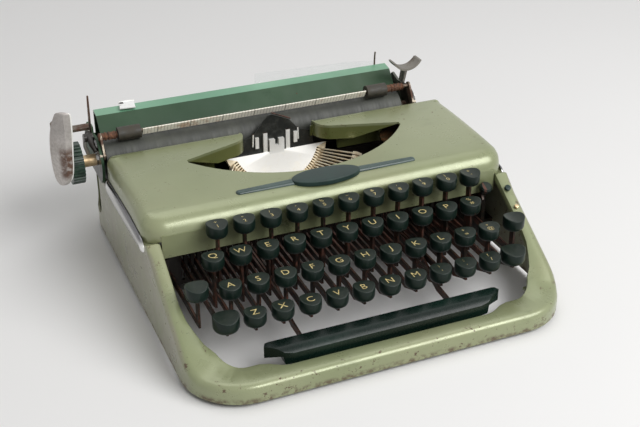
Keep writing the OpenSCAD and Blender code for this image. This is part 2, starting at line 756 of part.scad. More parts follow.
// Space bar: a boat-shaped bar with a sloping front face, on two low arms
space_front_y = 14.5;
space_rear_y = 26;
space_top_z = 25.5;
space_low_z = 13;
arm_z = 14;
module space_bar() {
    w = space_bar_half_w;
    shoulder = 72;
    placed() {
        color("darkslategray") difference() {
            translate([0, 0, space_low_z]) linear_extrude(space_top_z - space_low_z) polygon([
                [-w, space_rear_y - 3.5], [-w + 1.5, space_rear_y - 0.6], [-w + 4, space_rear_y],
                    [w - 4, space_rear_y],
                [w - 1.5, space_rear_y - 0.6], [w, space_rear_y - 3.5], [shoulder + 2, space_front_y + 1],
                [shoulder - 4, space_front_y], [-shoulder + 4, space_front_y],
                    [-shoulder - 2, space_front_y + 1]
            ]);
            rotate([90, 0, 90]) translate([0, 0, -100]) linear_extrude(200) polygon([
                [space_front_y - 2, space_top_z - 5], [space_front_y, space_top_z - 4.5],
                [space_front_y + 3.4, space_top_z - 1.2], [space_front_y + 5, space_top_z - 0.6],
                [space_rear_y, space_top_z], [space_rear_y, space_top_z + 3],
                    [space_front_y - 2, space_top_z + 3]
            ]);
            for (s = [-1, 1]) translate([s * (shoulder + 1.5), 0, space_low_z - 1]) rotate([0, s * 12, 0])
                translate([s > 0 ? 0 : -40, 0, -20]) cube([40, 60, 27]);
        }
        color("dimgray") for (s = [-1, 1]) difference() {
            plate_yz(s * space_arm_x, lever_t) union() {
                polygon([
                    [space_rear_y + socket_fit, arm_z - 1], [space_rear_y + socket_fit, arm_z + 3],
                        [50, arm_z + 5],
                    [80, lever_top(80)], [shaft_y, lever_top(shaft_y)],
                        [shaft_y, lever_top(shaft_y) - lever_h],
                    [82, lever_top(82) - lever_h], [52, arm_z]
                ]);
                translate([shaft_y, shaft_z]) circle(r = eye_r);
            }
            bar_x(shaft_r + run_fit, s * space_arm_x - lever_t, s * space_arm_x + lever_t, shaft_y,
                shaft_z);
        }
    }
}

// Carriage: a channel that straddles the rail, with two posts that guide the platen frame
guide_post_x = 96;
guide_post = [8, 5];
post_y = rail_y + 2;
module carriage() {
    x0 = carriage_left_x + 11;
    x1 = carriage_right_x - 9;
    side = rail_w / 2 + rail_gap;
    placed() color("lightslategray") union() {
        difference() {
            block([x0, rail_y - side - 2.6, 44], [x1, rail_y + side + 2.6, carriage_top_z]);
            block([x0 - 1, rail_y - side, 43], [x1 + 1, rail_y + side, rail_top_z + rail_gap]);
        }
        for (s = [-1, 1])
            block([s * guide_post_x - 10 - guide_post[0] / 2, post_y - guide_post[1] / 2,
                carriage_top_z - 1], [s * guide_post_x - 10 + guide_post[0] / 2,
                post_y + guide_post[1] / 2, 84]);
    }
}

// Platen frame: end plates, tie and paper table, which rise together for capitals
end_r = 18.2;
end_t = 2;
frame_low_z = 57.6;
platen_r = platen_d / 2;
platen_shaft_r = platen_shaft_d / 2;
bail_pin = [platen_y - 14.5, platen_z + 8.5];
bail_pin_r = 1.5;
lever_pin = [pad_centre_x - 16.4, platen_y + 15];
lever_pin_r = 2;
release_pin = [platen_y + 14, platen_z + 12];
table_x0 = carriage_left_x + 8;
table_x1 = carriage_right_x - 4;
table_front = [platen_y + 15.5, platen_z + 11];
table_fold = [platen_y + 26, table_top_z - 1.6];
table_back = [platen_y + 35.5, table_top_z];
module end_outline() {
    intersection() {
        union() {
            translate([platen_y, platen_z]) circle(r = end_r);
            polygon([
                [platen_y, frame_low_z], [platen_y + 35, frame_low_z], [platen_y + 36, 80],
                    [table_fold[0] - 1, table_fold[1] - 3],
                [table_front[0] - 1, table_fold[1] - 6], [platen_y - 2, platen_z + end_r - 0.2]
            ]);
        }
        translate([platen_y - 30, frame_low_z]) square([80, 60]);
    }
}
module platen_frame() {
    sleeve = 0.3;
    placed() {
        color("seagreen") difference() {
            union() {
                for (x = [carriage_left_x + end_t / 2, carriage_right_x - end_t / 2]) plate_yz(x,
                    end_t) end_outline();
                block([carriage_left_x + 1, platen_y + 18, frame_low_z],
                    [carriage_right_x - 1, platen_y + 20, frame_low_z + 9]);
                for (s = [-1, 1])
                    block([s * guide_post_x - 10 - 8, platen_y + 19, frame_low_z + 1],
                        [s * guide_post_x - 10 + 8, post_y + 5, frame_low_z + 12]);
                plate_yz((table_x0 + table_x1) / 2, table_x1 - table_x0) polygon([
                    table_front, table_fold, [table_back[0] - 0.6, table_back[1]],
                        [table_back[0] + 0.8, table_back[1] - 1],
                    [table_back[0] + 0.4, 64.6], [platen_y + 19, 59.6], [platen_y + 19, 61],
                        [table_back[0] - 1, 66],
                    [table_back[0] - 1, table_back[1] - 1.6], [table_fold[0] + 0.8, table_fold[1] - 1.5],
                    [table_front[0] + 1, table_front[1] - 1.2]
                ]);
                for (x = [carriage_left_x + 1, table_x1 - 1])
                    block([x, platen_y + 33.6, 62], [x + (x < 0 ? 9 : 4), platen_y + 35, 78]);
                block([carriage_left_x - 22, lever_pin[1] - 4, 92],
                    [carriage_left_x + 1, lever_pin[1] + 4, 94]);
                plate_yz(carriage_left_x + end_t / 2, end_t) polygon([
                    [lever_pin[1] - 6, 84], [lever_pin[1] + 5, 84], [lever_pin[1] + 4, 94],
                        [lever_pin[1] - 4, 94]
                ]);
            }
            bar_x(platen_shaft_r + run_fit, carriage_left_x - 5, carriage_right_x + 5, platen_y,
                platen_z);
            for (s = [-1, 1])
                block([s * guide_post_x - 10 - guide_post[0] / 2 - sleeve,
                    post_y - guide_post[1] / 2 - sleeve, 50],
                    [s * guide_post_x - 10 + guide_post[0] / 2 + sleeve,
                    post_y + guide_post[1] / 2 + sleeve, 88]);
        }
        color("gray") {
            bar_x(bail_pin_r, carriage_left_x + end_t, carriage_left_x + end_t + 2.4, bail_pin[0],
                bail_pin[1]);
            bar_x(bail_pin_r, carriage_right_x - end_t - 2.4, carriage_right_x - end_t, bail_pin[0],
                bail_pin[1]);
            bar_x(1.8, carriage_right_x, carriage_right_x + 3.2, release_pin[0], release_pin[1]);
            translate([lever_pin[0], lever_pin[1], 94]) cylinder(r = lever_pin_r, h = 7);
            plate_yz(carriage_left_x - 0.6, 1.2) polygon([
                [platen_y + 8, 88], [platen_y + 12, 88], [platen_y + 9.5, 108], [platen_y + 7, 121],
                    [platen_y + 6, 120.6], [platen_y + 6.5, 106]
            ]);
        }
    }
}

module knob(x0, x1) {
    ribs = 30;
    r = knob_d / 2;
    plate_yz((x0 + x1) / 2, x1 - x0) translate([platen_y, platen_z]) polygon([
        for (i = [0 : ribs - 1]) for (q = [[0, 1], [0.32, 1], [0.5, 0.93], [0.82, 0.93]])
            let (a = (i + q[0]) * 360 / ribs) [r * q[1] * cos(a), r * q[1] * sin(a)]
    ]);
}
module platen() {
    collar_x = carriage_left_x - 11.5;
    knob_x = collar_x - 9;
    roller_x0 = carriage_left_x + 5;
    roller_x1 = carriage_right_x - 12;
    placed() {
        color("dimgray") bar_x(platen_r, roller_x0, roller_x1, platen_y, platen_z);
        color("silver") bar_x(platen_shaft_r, collar_x, roller_x0, platen_y, platen_z);
        color("silver") bar_x(platen_shaft_r, roller_x1, carriage_right_x + 3, platen_y, platen_z);
        color("goldenrod") difference() {
            bar_x(6, collar_x, carriage_left_x - 0.5, platen_y, platen_z);
            bar_x(platen_shaft_r, collar_x - 1, carriage_left_x + 1, platen_y, platen_z);
        }
        color("darkslategray") difference() {
            knob(knob_x, collar_x);
            bar_x(4, knob_x - 1, knob_x + 3, platen_y, platen_z);
        }
    }
}

bail_bar = [platen_y - 7, platen_z + 20.5];
module paper_bail() {
    arm_t = 1.4;
    left_x = carriage_left_x + end_t + 1.1;
    right_x = carriage_right_x - end_t - 1.1;
    rod_r = 1.5;
    roller_r = 5.2;
    span = concat([[carriage_left_x + 16, carriage_left_x + 33]],
        [[carriage_right_x - 41, carriage_right_x - 24]]);
    placed() {
        color("saddlebrown") difference() {
            union() {
                for (x = [left_x, right_x]) plate_yz(x, arm_t) union() {
                    translate(bail_pin) circle(r = 3);
                    translate(bail_bar) circle(r = 3);
                    polygon([bail_pin + [-2.6, 1.5], bail_pin + [2.6, -1.5], bail_bar + [2.6, -1.5],
                        bail_bar + [-2.6, 1.5]]);
                }
                bar_x(rod_r, left_x - arm_t / 2, right_x + arm_t / 2, bail_bar[0], bail_bar[1]);
            }
            bar_x(bail_pin_r + run_fit, carriage_left_x, carriage_right_x, bail_pin[0], bail_pin[1]);
        }
        color("dimgray") for (s = span) difference() {
            bar_x(roller_r, s[0], s[1], bail_bar[0], bail_bar[1]);
            bar_x(rod_r, s[0] - 1, s[1] + 1, bail_bar[0], bail_bar[1]);
        }
        color("ivory") translate([0, bail_bar[0], bail_bar[1]]) rotate([30, 0, 0])
            block([span[0][1] + 1.5, -rod_r - 0.8, -2], [span[1][0] - 1.5, -rod_r, 4.5]);
    }
}

// Return lever: a tall curved pad that stands round the knob's outer end
module return_lever() {
    pad_low_z = 57;
    hub_r = 4.5;
    tail = [lever_pin[0] - pad_centre_x, lever_pin[1] - pad_centre_y];
    placed() color("silver") difference() {
        union() {
            intersection() {
                translate([pad_centre_x, pad_centre_y, pad_low_z]) difference() {
                    cylinder(r = pad_r, h = pad_h, $fn = 96);
                    translate([0, 0, -1]) cylinder(r = pad_r - pad_t, h = pad_h + 2, $fn = 96);
                }
                translate([pad_centre_x - 40, 0, 0]) rotate([90, 0, 90]) linear_extrude(40)
                    polygon(concat(
                    [for (a = [180 : 20 : 360]) [pad_centre_y - 2.5 + 17 * cos(a),
                        pad_low_z + 13 + 13 * sin(a)]],
                    [[pad_centre_y + 12, pad_low_z + pad_h - 12], [pad_centre_y + 10, pad_low_z + pad_h],
                        [pad_centre_y - 13, pad_low_z + pad_h],
                            [pad_centre_y - 18, pad_low_z + pad_h - 16]]
                ));
            }
            translate([lever_pin[0], lever_pin[1], 94.3]) cylinder(r = hub_r, h = 6);
            translate([pad_centre_x, pad_centre_y, 94.3]) intersection() {
                difference() {
                    cylinder(r = pad_r - 0.5, h = 6, $fn = 96);
                    translate([0, 0, -1]) cylinder(r = pad_r - 5, h = 8, $fn = 96);
                }
                translate([-pad_r, 0, -1]) cube([14, tail[1], 8]);
            }
        }
        translate([lever_pin[0], lever_pin[1], 90]) cylinder(r = lever_pin_r + run_fit, h = 14);
    }
}

// Paper release: a stem on the right end plate with a boat-shaped thumb pad
module release_lever() {
    stem_x = carriage_right_x + 1.3;
    pad_bow_r = 14;
    pad_low_z = 101;
    placed() color("silver") difference() {
        union() {
            plate_yz(stem_x, 2) union() {
                translate(release_pin) circle(r = 4);
                polygon([release_pin + [-3.5, 2], release_pin + [3.5, 1],
                    [release_pin[0] - 1, pad_low_z + 1], [release_pin[0] - 9, pad_low_z + 1]]);
            }
            translate([stem_x, release_pin[0], pad_low_z + pad_bow_r]) rotate([90, 0, 0]) intersection() {
                difference() {
                    cylinder(r = pad_bow_r, h = 11, $fn = 96);
                    translate([0, 0, -1]) cylinder(r = pad_bow_r - 1.6, h = 13, $fn = 96);
                }
                translate([-12.5, -20, -1]) cube([25, 13.5, 13]);
            }
        }
        bar_x(1.8 + run_fit, stem_x - 3, stem_x + 3, release_pin[0], release_pin[1]);
    }
}

base_housing();
top_cover();
rubber_feet();
inner_frame();
type_basket();
ribbon_spool_left();
ribbon_spool_right();
ribbon_selector();
carriage();
platen_frame();
platen();
paper_bail();
return_lever();
release_lever();
shift_keys();
backspace_key();
space_bar();
for (k = KEYS) character_key(k[1], k[2]);
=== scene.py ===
"""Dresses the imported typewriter: finishes for every solid, key tops with legends, trim and the stage."""

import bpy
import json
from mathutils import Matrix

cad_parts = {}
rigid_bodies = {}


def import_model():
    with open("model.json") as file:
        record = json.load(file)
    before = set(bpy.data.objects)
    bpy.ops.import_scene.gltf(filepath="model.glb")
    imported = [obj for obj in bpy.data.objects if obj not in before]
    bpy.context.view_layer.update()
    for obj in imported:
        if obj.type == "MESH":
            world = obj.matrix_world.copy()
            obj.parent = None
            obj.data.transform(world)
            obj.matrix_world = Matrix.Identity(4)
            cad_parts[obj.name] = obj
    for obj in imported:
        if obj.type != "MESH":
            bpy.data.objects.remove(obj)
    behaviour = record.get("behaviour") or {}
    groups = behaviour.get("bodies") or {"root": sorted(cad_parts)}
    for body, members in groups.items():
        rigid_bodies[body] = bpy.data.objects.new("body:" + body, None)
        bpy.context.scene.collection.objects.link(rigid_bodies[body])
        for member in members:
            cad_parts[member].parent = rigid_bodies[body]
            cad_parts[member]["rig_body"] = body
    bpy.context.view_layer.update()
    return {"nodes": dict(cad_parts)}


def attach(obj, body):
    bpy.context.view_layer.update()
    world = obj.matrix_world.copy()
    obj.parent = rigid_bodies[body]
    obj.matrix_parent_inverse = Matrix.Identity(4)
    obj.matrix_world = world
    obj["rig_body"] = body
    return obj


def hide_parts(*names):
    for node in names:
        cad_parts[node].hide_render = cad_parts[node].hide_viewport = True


bl_info = {
    "name": "Portable typewriter",
    "version": (1, 0, 0),
    "blender": (4, 5, 0),
    "location": "3D View > Sidebar > Typewriter",
    "description": "Dresses a flat portable typewriter and sets its stage",
    "category": "Object",
}

import json
import math

import bmesh
import bpy
import numpy as np
from bpy.props import FloatProperty, FloatVectorProperty, IntProperty, PointerProperty
from mathutils import Matrix, Vector

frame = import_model()

MM = 0.001
# Where the machine's own zero stands in the row frame: middle plane, front of the keyboard, table
MACHINE_ZERO = np.array([17.1, -141.0, 0.0])
ROOT = "machine"

# Places on the machine, in millimetres from its own zero
WALL_X = 137.0  # outer face of the side walls
PLATEN_Y, PLATEN_Z = 231.0, 72.5
BAIL_Y, BAIL_Z = 224.0, 93.0
BASKET_X, BASKET_Y, BASKET_Z, BASKET_TILT = -4.0, 214.0, 75.0, math.radians(65)
SPOOL_X, SPOOL_Y = 94.0, 179.0
KEY_SHAFT_Y, KEY_SHAFT_Z, KEY_SHAFT_R = 196.0, 27.5, 2.2
PLATE_LEFT, PLATE_RIGHT = -139.0, 119.0  # outer faces of the platen frame's end plates
ROLL_Y, ROLL_Z, ROLL_R, CROWN_Z = 116.0, 72.2, 13.0, 83.4  # front roll of the cover, and its top
STEEL = 0.76  # half the thickness of a steel strip, with a little room


def at(x, y, z):
    """Machine millimetres to row-frame metres; the three values broadcast to one array of points."""
    x, y, z = np.broadcast_arrays(x, y, z)
    return (np.stack([x, y, z], -1) + MACHINE_ZERO) * MM


def circle(sides):
    """Angles round a full circle, in radians."""
    return np.linspace(0, 2 * math.pi, sides, endpoint=False)


def srgb(r, g, b):
    """Linear colour of a screen colour from 0 to 255."""
    c = np.array([r, g, b]) / 255
    c = np.where(c <= 0.04045, c / 12.92, ((c + 0.055) / 1.055) ** 2.4)
    return (float(c[0]), float(c[1]), float(c[2]), 1.0)


FALL = (1.0, 0.0)  # limits of a band that falls where others rise


class Finish:
    """A node material that is built step by step; every pattern reads Object coordinates."""

    def __init__(self, name):
        self.material = bpy.data.materials.new(name)
        self.material.use_nodes = True
        self.tree = self.material.node_tree
        self.tree.nodes.clear()
        self.shader = self.node("ShaderNodeBsdfPrincipled")
        self.node("ShaderNodeOutputMaterial", [(0, self.shader.outputs[0])])
        self.place = self.node("ShaderNodeTexCoord").outputs["Object"]

    def node(self, kind, inputs=(), **values):
        """A node with its properties set to the values and its inputs fed."""
        made = self.tree.nodes.new(kind)
        for key, value in values.items():
            setattr(made, key, value)
        for key, value in inputs:
            self.feed(made.inputs[key], value)
        return made

    def feed(self, socket, value):
        """A constant goes straight on the socket, anything else is linked to it."""
        if isinstance(value, (int, float, tuple)):
            socket.default_value = value
        else:
            self.tree.links.new(value, socket)

    def stretched(self, scale):
        """Object coordinates multiplied by the three factors."""
        return self.node("ShaderNodeMapping", [("Scale", scale), ("Vector", self.place)]).outputs[0]

    def noise(self, scale, detail, rough, place=None, seed=0.0):
        """Noise in four dimensions, the fourth of which is the seed."""
        inputs = [("Scale", scale), ("Detail", detail), ("Roughness", rough), ("W", seed)]
        inputs.append(("Vector", place or self.place))
        return self.node("ShaderNodeTexNoise", inputs, noise_dimensions="4D").outputs["Fac"]

    def band(self, value, low, high, to=(0.0, 1.0)):
        """Maps value from low..high to the two limits of to, smoothly."""
        inputs = [("Value", value), ("From Min", low), ("From Max", high)]
        inputs += [("To Min", to[0]), ("To Max", to[1])]
        return self.node("ShaderNodeMapRange", inputs, interpolation_type="SMOOTHSTEP").outputs[0]

    def math(self, what, a, b):
        return self.node("ShaderNodeMath", [(0, a), (1, b)], operation=what).outputs[0]

    def plus(self, a, b):
        return self.math("ADD", a, b)

    def times(self, product, *factors):
        for factor in factors:
            product = self.math("MULTIPLY", product, factor)
        return product

    def most(self, a, b):
        return self.math("MAXIMUM", a, b)

    def mix(self, fac, a, b):
        """Colour a where fac is 0, colour b where it is 1; a and b are colours or sockets."""
        return self.node("ShaderNodeMix", [(0, fac), (6, a), (7, b)], data_type="RGBA").outputs[2]

    def axis(self, letter):
        return self.node("ShaderNodeSeparateXYZ", [(0, self.place)]).outputs[letter]

    def machine(self, letter):
        """One machine coordinate in millimetres, read from Object coordinates."""
        zero = float(MACHINE_ZERO["XYZ".index(letter)])
        return self.math("SUBTRACT", self.times(self.axis(letter), 1 / MM), zero)

    def bump(self, height, strength, distance=0.0004):
        inputs = [("Strength", strength), ("Distance", distance), ("Height", height)]
        self.set(Normal=self.node("ShaderNodeBump", inputs).outputs[0])

    def set(self, **values):
        """Feeds the shader's sockets, named with _ for a space."""
        for key, value in values.items():
            self.feed(self.shader.inputs[key.replace("_", " ")], value)


RUST = srgb(84, 60, 42)
MADE = {}


def finish(name):
    """The finish of that name, made once."""
    if name not in MADE:
        f = MADE[name] = Finish(name)
        if name in STAINED:
            stained(f, *STAINED[name])
        else:
            PAINTED[name](f)
    return MADE[name].material


def shaded(colour, *shares):
    """The colour with its red, green and blue multiplied by the shares."""
    return tuple(c * k for c, k in zip(colour[:3], shares)) + (1,)


def worn_paint(f, light, dark, metallic=0.22, rough=0.3, rust=0.62, wear_and_shade=None, coat=0.45, shine=0.5):
    """Pearl enamel: slow drift of tone, fine flake, grey smears, brown specks and bare rusty spots."""
    drift = f.times(f.band(f.noise(9, 3, 0.5), 0.35, 0.7), 0.8)
    flake = f.band(f.noise(2600, 2, 0.6, seed=2.0), 0.25, 0.75, (0.0, 0.14))
    tone = f.mix(f.plus(drift, flake), light, dark)
    cloud = f.band(f.noise(13, 4, 0.62, seed=17.0), 0.45, 0.68, (0.0, 0.4))
    tone = f.mix(cloud, tone, shaded(light, 0.86, 0.76, 0.74))
    smear = f.band(f.noise(42, 5, 0.7, f.stretched((0.6, 1.3, 1.0)), 3.0), 0.56, 0.74, (0.0, 0.42))
    tone = f.mix(smear, tone, shaded(dark, 0.55, 0.55, 0.55))
    speck = f.band(f.noise(240, 5, 0.72, seed=4.0), rust, rust + 0.05)
    worn = f.times(speck, f.band(f.noise(30, 4, 0.6, seed=6.0), 0.48, 0.64))
    # The hook adds wear on the housing and painted shade inside the cover's crescent
    if wear_and_shade:
        tone, worn = wear_and_shade(f, tone, worn)
    dull = f.band(f.noise(55, 5, 0.65, seed=11.0), 0.3, 0.75, (rough - 0.05, rough + 0.1))
    dull = f.plus(f.plus(dull, f.times(smear, 0.25)), f.times(worn, 0.3))
    f.set(Base_Color=f.mix(worn, tone, RUST), Roughness=dull, Metallic=metallic)
    f.set(Coat_Weight=coat, Coat_Roughness=0.2, Specular_IOR_Level=shine)
    f.bump(f.math("SUBTRACT", f.noise(700, 3, 0.6, seed=1.0), f.times(worn, 1.2)), 0.1)


def rim_wear(f, tone, worn):
    """What hands and tables do to the housing: chalky sides, chipped edges, rust along the bottom."""
    side = f.math("ABSOLUTE", f.machine("X"), 0)
    below_seam = f.band(f.machine("Z"), 60, 67, FALL)
    chalk = f.band(f.noise(38, 5, 0.7, seed=13.0), 0.3, 0.62, (0.25, 0.85))
    tone = f.mix(f.times(f.band(side, 133.5, 136), below_seam, chalk), tone, srgb(150, 146, 128))
    ragged = f.band(f.noise(160, 5, 0.7, seed=9.0), 0.44, 0.6)
    foot = f.times(f.band(f.machine("Z"), 4.5, 8.0, (0.8, 0.0)), ragged)
    outer = f.times(f.band(side, 129, 134), f.band(side, 135.6, 136.4, (1.0, 0.05)))
    inner = f.times(f.band(side, 116, 118), f.band(side, 120, 124, FALL))
    front = f.band(f.machine("Y"), 1.0, 6.0, FALL)
    edge = f.most(f.most(outer, front), inner)
    chip = f.times(edge, f.band(f.noise(190, 5, 0.75, seed=15.0), 0.585, 0.62), 0.9)
    return tone, f.most(f.most(worn, foot), chip)


def crescent_shade(f, tone, worn):
    """Darker, greener enamel on the walls inside the crescent: painted shade on these turned-down walls."""
    low = f.band(f.machine("Z"), 82.6, 83.8, FALL)
    behind_tips = f.band(f.machine("Y"), 168, 172)
    before_rear = f.band(f.machine("Y"), 209, 210, FALL)
    off_middle = f.math("ABSOLUTE", f.plus(f.machine("X"), -BASKET_X), 0)
    inside = f.times(low, behind_tips, before_rear, f.band(off_middle, 84, 88, FALL))
    # Painted shade: the walls inside the crescent take the darker colour
    return f.mix(inside, tone, srgb(104, 110, 62)), worn


def olive_enamel(f, wear_and_shade):
    """The body's enamel in the two colours of the panel."""
    colours = bpy.context.scene.typewriter_body
    worn_paint(f, (*colours.light_olive, 1), (*colours.dark_olive, 1), wear_and_shade=wear_and_shade)


def stained(f, one, other, grain, spread, rough, metallic, relief, stretch=None, seeds=(0, 0), more=()):
    """
    One stuff in two tones, the second where a noise rises through the two limits of spread.

    grain is the noise's scale, detail and roughness; rough, and metallic where it is a pair, belong to the
    two tones; relief is scale, detail and roughness of the bump's noise, then its strength and depth; seeds
    are those of the two noises; more holds other sockets of the shader and their values.
    """
    place = f.stretched(stretch) if stretch else None
    share = f.band(f.noise(*grain, place, seeds[0]), *spread)
    f.set(Base_Color=f.mix(share, srgb(*one), srgb(*other)), Roughness=f.band(share, 0, 1, rough))
    f.set(Metallic=f.band(share, 0, 1, metallic) if isinstance(metallic, tuple) else metallic, **dict(more))
    if relief:
        f.bump(f.noise(*relief[:3], seed=seeds[1]), *relief[3:])


def key_plastic(f):
    """Moulded plastic: very dark green, faint flow marks, tops dulled by fingers and dust."""
    colour = tuple(bpy.context.scene.typewriter_keys.cap_colour)
    flow = f.band(f.noise(60, 4, 0.6), 0.3, 0.7)
    base = f.mix(flow, (*colour, 1), shaded(colour, 1.35, 1.35, 1.35))
    up = f.node("ShaderNodeSeparateXYZ", [(0, f.node("ShaderNodeNewGeometry").outputs["Normal"])])
    grime = f.band(f.noise(230, 5, 0.7, seed=3.0), 0.3, 0.8, (0.1, 0.5))
    dust = f.times(f.band(up.outputs["Z"], 0.6, 0.9), grime)
    f.set(Base_Color=f.mix(dust, base, srgb(60, 64, 56)), Roughness=f.plus(f.times(dust, 0.2), 0.3))
    f.set(Specular_IOR_Level=0.3, IOR=1.45)
    f.bump(f.noise(1500, 2, 0.5, seed=5.0), 0.05, 0.0002)


def marbled_plastic(f):
    """The space bar's plastic: dark green with long paler clouds."""
    cloud = f.band(f.noise(14, 5, 0.65, f.stretched((0.5, 2.0, 2.0)), 2.0), 0.42, 0.68)
    gloss = f.band(f.noise(400, 4, 0.6, seed=8.0), 0.3, 0.8, (0.24, 0.36))
    f.set(Base_Color=f.mix(cloud, srgb(8, 22, 18), srgb(16, 38, 31)), Roughness=gloss)
    f.set(Specular_IOR_Level=0.3, IOR=1.45)
    f.bump(f.noise(900, 3, 0.5, seed=1.0), 0.05, 0.0002)


def platen_rubber(f):
    """Grey-black rubber with fine turning marks round the roller and dusty bands."""
    rings = f.noise(60, 3, 0.6, f.stretched((14, 0.05, 0.05)))
    dust = f.band(f.noise(45, 5, 0.6, seed=3.0), 0.35, 0.75)
    f.set(Base_Color=f.mix(dust, srgb(52, 54, 50), srgb(78, 80, 72)))
    f.set(Roughness=f.band(rings, 0.3, 0.7, (0.45, 0.62)))
    f.bump(rings, 0.2, 0.0002)


def bright_trim(f):
    """Chromed moulding: bright middle, grey where it curves away as a painted reflection, fine scratches
    along it and a few pits.
    """
    lines = f.noise(200, 3, 0.6, f.stretched((6, 0.15, 6)))
    pits = f.band(f.noise(420, 4, 0.7, seed=5.0), 0.64, 0.72)
    # Painted reflection: the chrome colour turns grey towards the strip's upper and lower edges
    upper = f.band(f.machine("Z"), 63.5, 67.0)
    lower = f.band(f.machine("Z"), 57.0, 60.5, FALL)
    dull = f.most(upper, f.times(lower, 0.7))
    chrome_with_painted_reflection = f.mix(dull, srgb(232, 232, 230), srgb(120, 120, 122))
    f.set(Base_Color=f.mix(pits, chrome_with_painted_reflection, srgb(100, 80, 62)), Metallic=1.0)
    f.set(Roughness=f.plus(f.band(lines, 0.3, 0.7, (0.12, 0.28)), f.times(pits, 0.4)))
    f.bump(lines, 0.06, 0.0002)


def cast_aluminium(f):
    """Dull aluminium, brushed along its height, with brown stains near its edges and tips."""
    grain = f.noise(240, 4, 0.6, f.stretched((4, 4, 0.3)))
    stain = f.band(f.noise(70, 5, 0.7, seed=7.0), 0.54, 0.7)
    f.set(Base_Color=f.mix(stain, srgb(134, 130, 123), srgb(92, 78, 64)))
    f.set(Metallic=f.band(stain, 0, 1, (0.8, 0.3)))
    f.set(Roughness=f.plus(f.band(grain, 0.3, 0.7, (0.42, 0.58)), f.times(stain, 0.2)))
    f.bump(grain, 0.12, 0.0003)


def pad_metal(f):
    """Rough cast aluminium of the return pad: grey grain, darker at the top, rust down its front edge."""
    grain = f.band(f.noise(520, 5, 0.75), 0.3, 0.72)
    cloud = f.band(f.noise(60, 4, 0.6, seed=2.0), 0.35, 0.7)
    base = f.mix(f.plus(f.times(grain, 0.6), f.times(cloud, 0.4)), srgb(208, 203, 199), srgb(164, 157, 151))
    base = f.mix(f.band(f.machine("Z"), 92, 108, (0.0, 0.45)), base, srgb(150, 145, 142))
    near_edge = f.band(f.machine("Y"), 215.5, 219.5, FALL)
    above, below = f.band(f.machine("Z"), 66, 72), f.band(f.machine("Z"), 88, 97, FALL)
    run = f.times(near_edge, above, below, f.band(f.noise(180, 5, 0.7, seed=5.0), 0.3, 0.55))
    f.set(Base_Color=f.mix(run, base, srgb(98, 72, 58)), Metallic=f.band(run, 0, 1, (0.45, 0.1)))
    f.set(Roughness=f.band(grain, 0, 1, (0.4, 0.6)))
    f.bump(f.math("SUBTRACT", f.noise(900, 5, 0.7, seed=1.0), run), 0.35, 0.0004)


def rusty_rod(f):
    """Steel rod eaten by rust: red-brown scale with dark pits."""
    scale = f.band(f.noise(420, 5, 0.75), 0.35, 0.65)
    f.set(Base_Color=f.mix(scale, srgb(58, 38, 30), srgb(128, 88, 64)))
    f.set(Roughness=f.band(scale, 0, 1, (0.55, 0.8)), Metallic=0.2)
    f.bump(scale, 0.6, 0.0006)


def scale_strip(f):
    """Cream strip printed with fine ruled marks a tenth of an inch apart, every tenth one darker."""
    along = f.times(f.axis("X"), 1 / 0.00254)
    fine = f.math("PINGPONG", along, 0.5)
    wide = f.math("PINGPONG", f.times(along, 0.1), 0.5)
    tick, long_tick = f.band(fine, 0.08, 0.15, (0.32, 0.0)), f.band(wide, 0.012, 0.024, (0.6, 0.0))
    soil = f.band(f.noise(60, 5, 0.7), 0.52, 0.68)
    paper = f.mix(soil, srgb(255, 250, 236), srgb(206, 168, 142))
    f.set(Base_Color=f.mix(f.most(tick, long_tick), paper, srgb(70, 62, 54)))
    f.set(Roughness=f.band(soil, 0, 1, (0.35, 0.55)))
    f.bump(f.noise(900, 3, 0.6), 0.05, 0.0002)


def ribbon_cloth(f):
    """Inked cotton wound in turns, with a fine weave."""
    weave = f.noise(2400, 2, 0.5, f.stretched((1, 1, 3)))
    f.set(Base_Color=f.mix(f.band(weave, 0.35, 0.7), srgb(22, 20, 22), srgb(48, 42, 42)), Roughness=0.85)
    f.bump(weave, 0.4, 0.0002)


PAINTED = {
    # The cover's enamel gets painted shade on the walls inside the crescent
    "body enamel": lambda f: olive_enamel(f, crescent_shade),
    "housing enamel": lambda f: olive_enamel(f, rim_wear),
    # Blue-green enamel of the paper table, and the paler band along its top, whose paler tone is a painted
    # highlight on the bend
    "green enamel": lambda f: worn_paint(
        f, srgb(62, 88, 64), srgb(42, 68, 48), 0.0, 0.5, 0.64, coat=0.0, shine=0.25),
    "table top highlight enamel": lambda f: worn_paint(f, srgb(128, 176, 146), srgb(94, 146, 116), 0.1, 0.34, 0.72),
    "grey enamel": lambda f: worn_paint(f, srgb(96, 100, 88), srgb(66, 70, 60), 0.3, 0.35, 0.56),
    # Chassis steel under old black paint, with brown rust showing through
    "dark frame": lambda f: worn_paint(f, srgb(46, 40, 35), srgb(30, 27, 24), 0.5, 0.5, 0.55),
    "key plastic": key_plastic,
    "marbled plastic": marbled_plastic,
    "platen rubber": platen_rubber,
    "bright trim": bright_trim,
    "cast aluminium": cast_aluminium,
    "pad metal": pad_metal,
    "rusty rod": rusty_rod,
    "scale strip": scale_strip,
    "ribbon": ribbon_cloth,
}
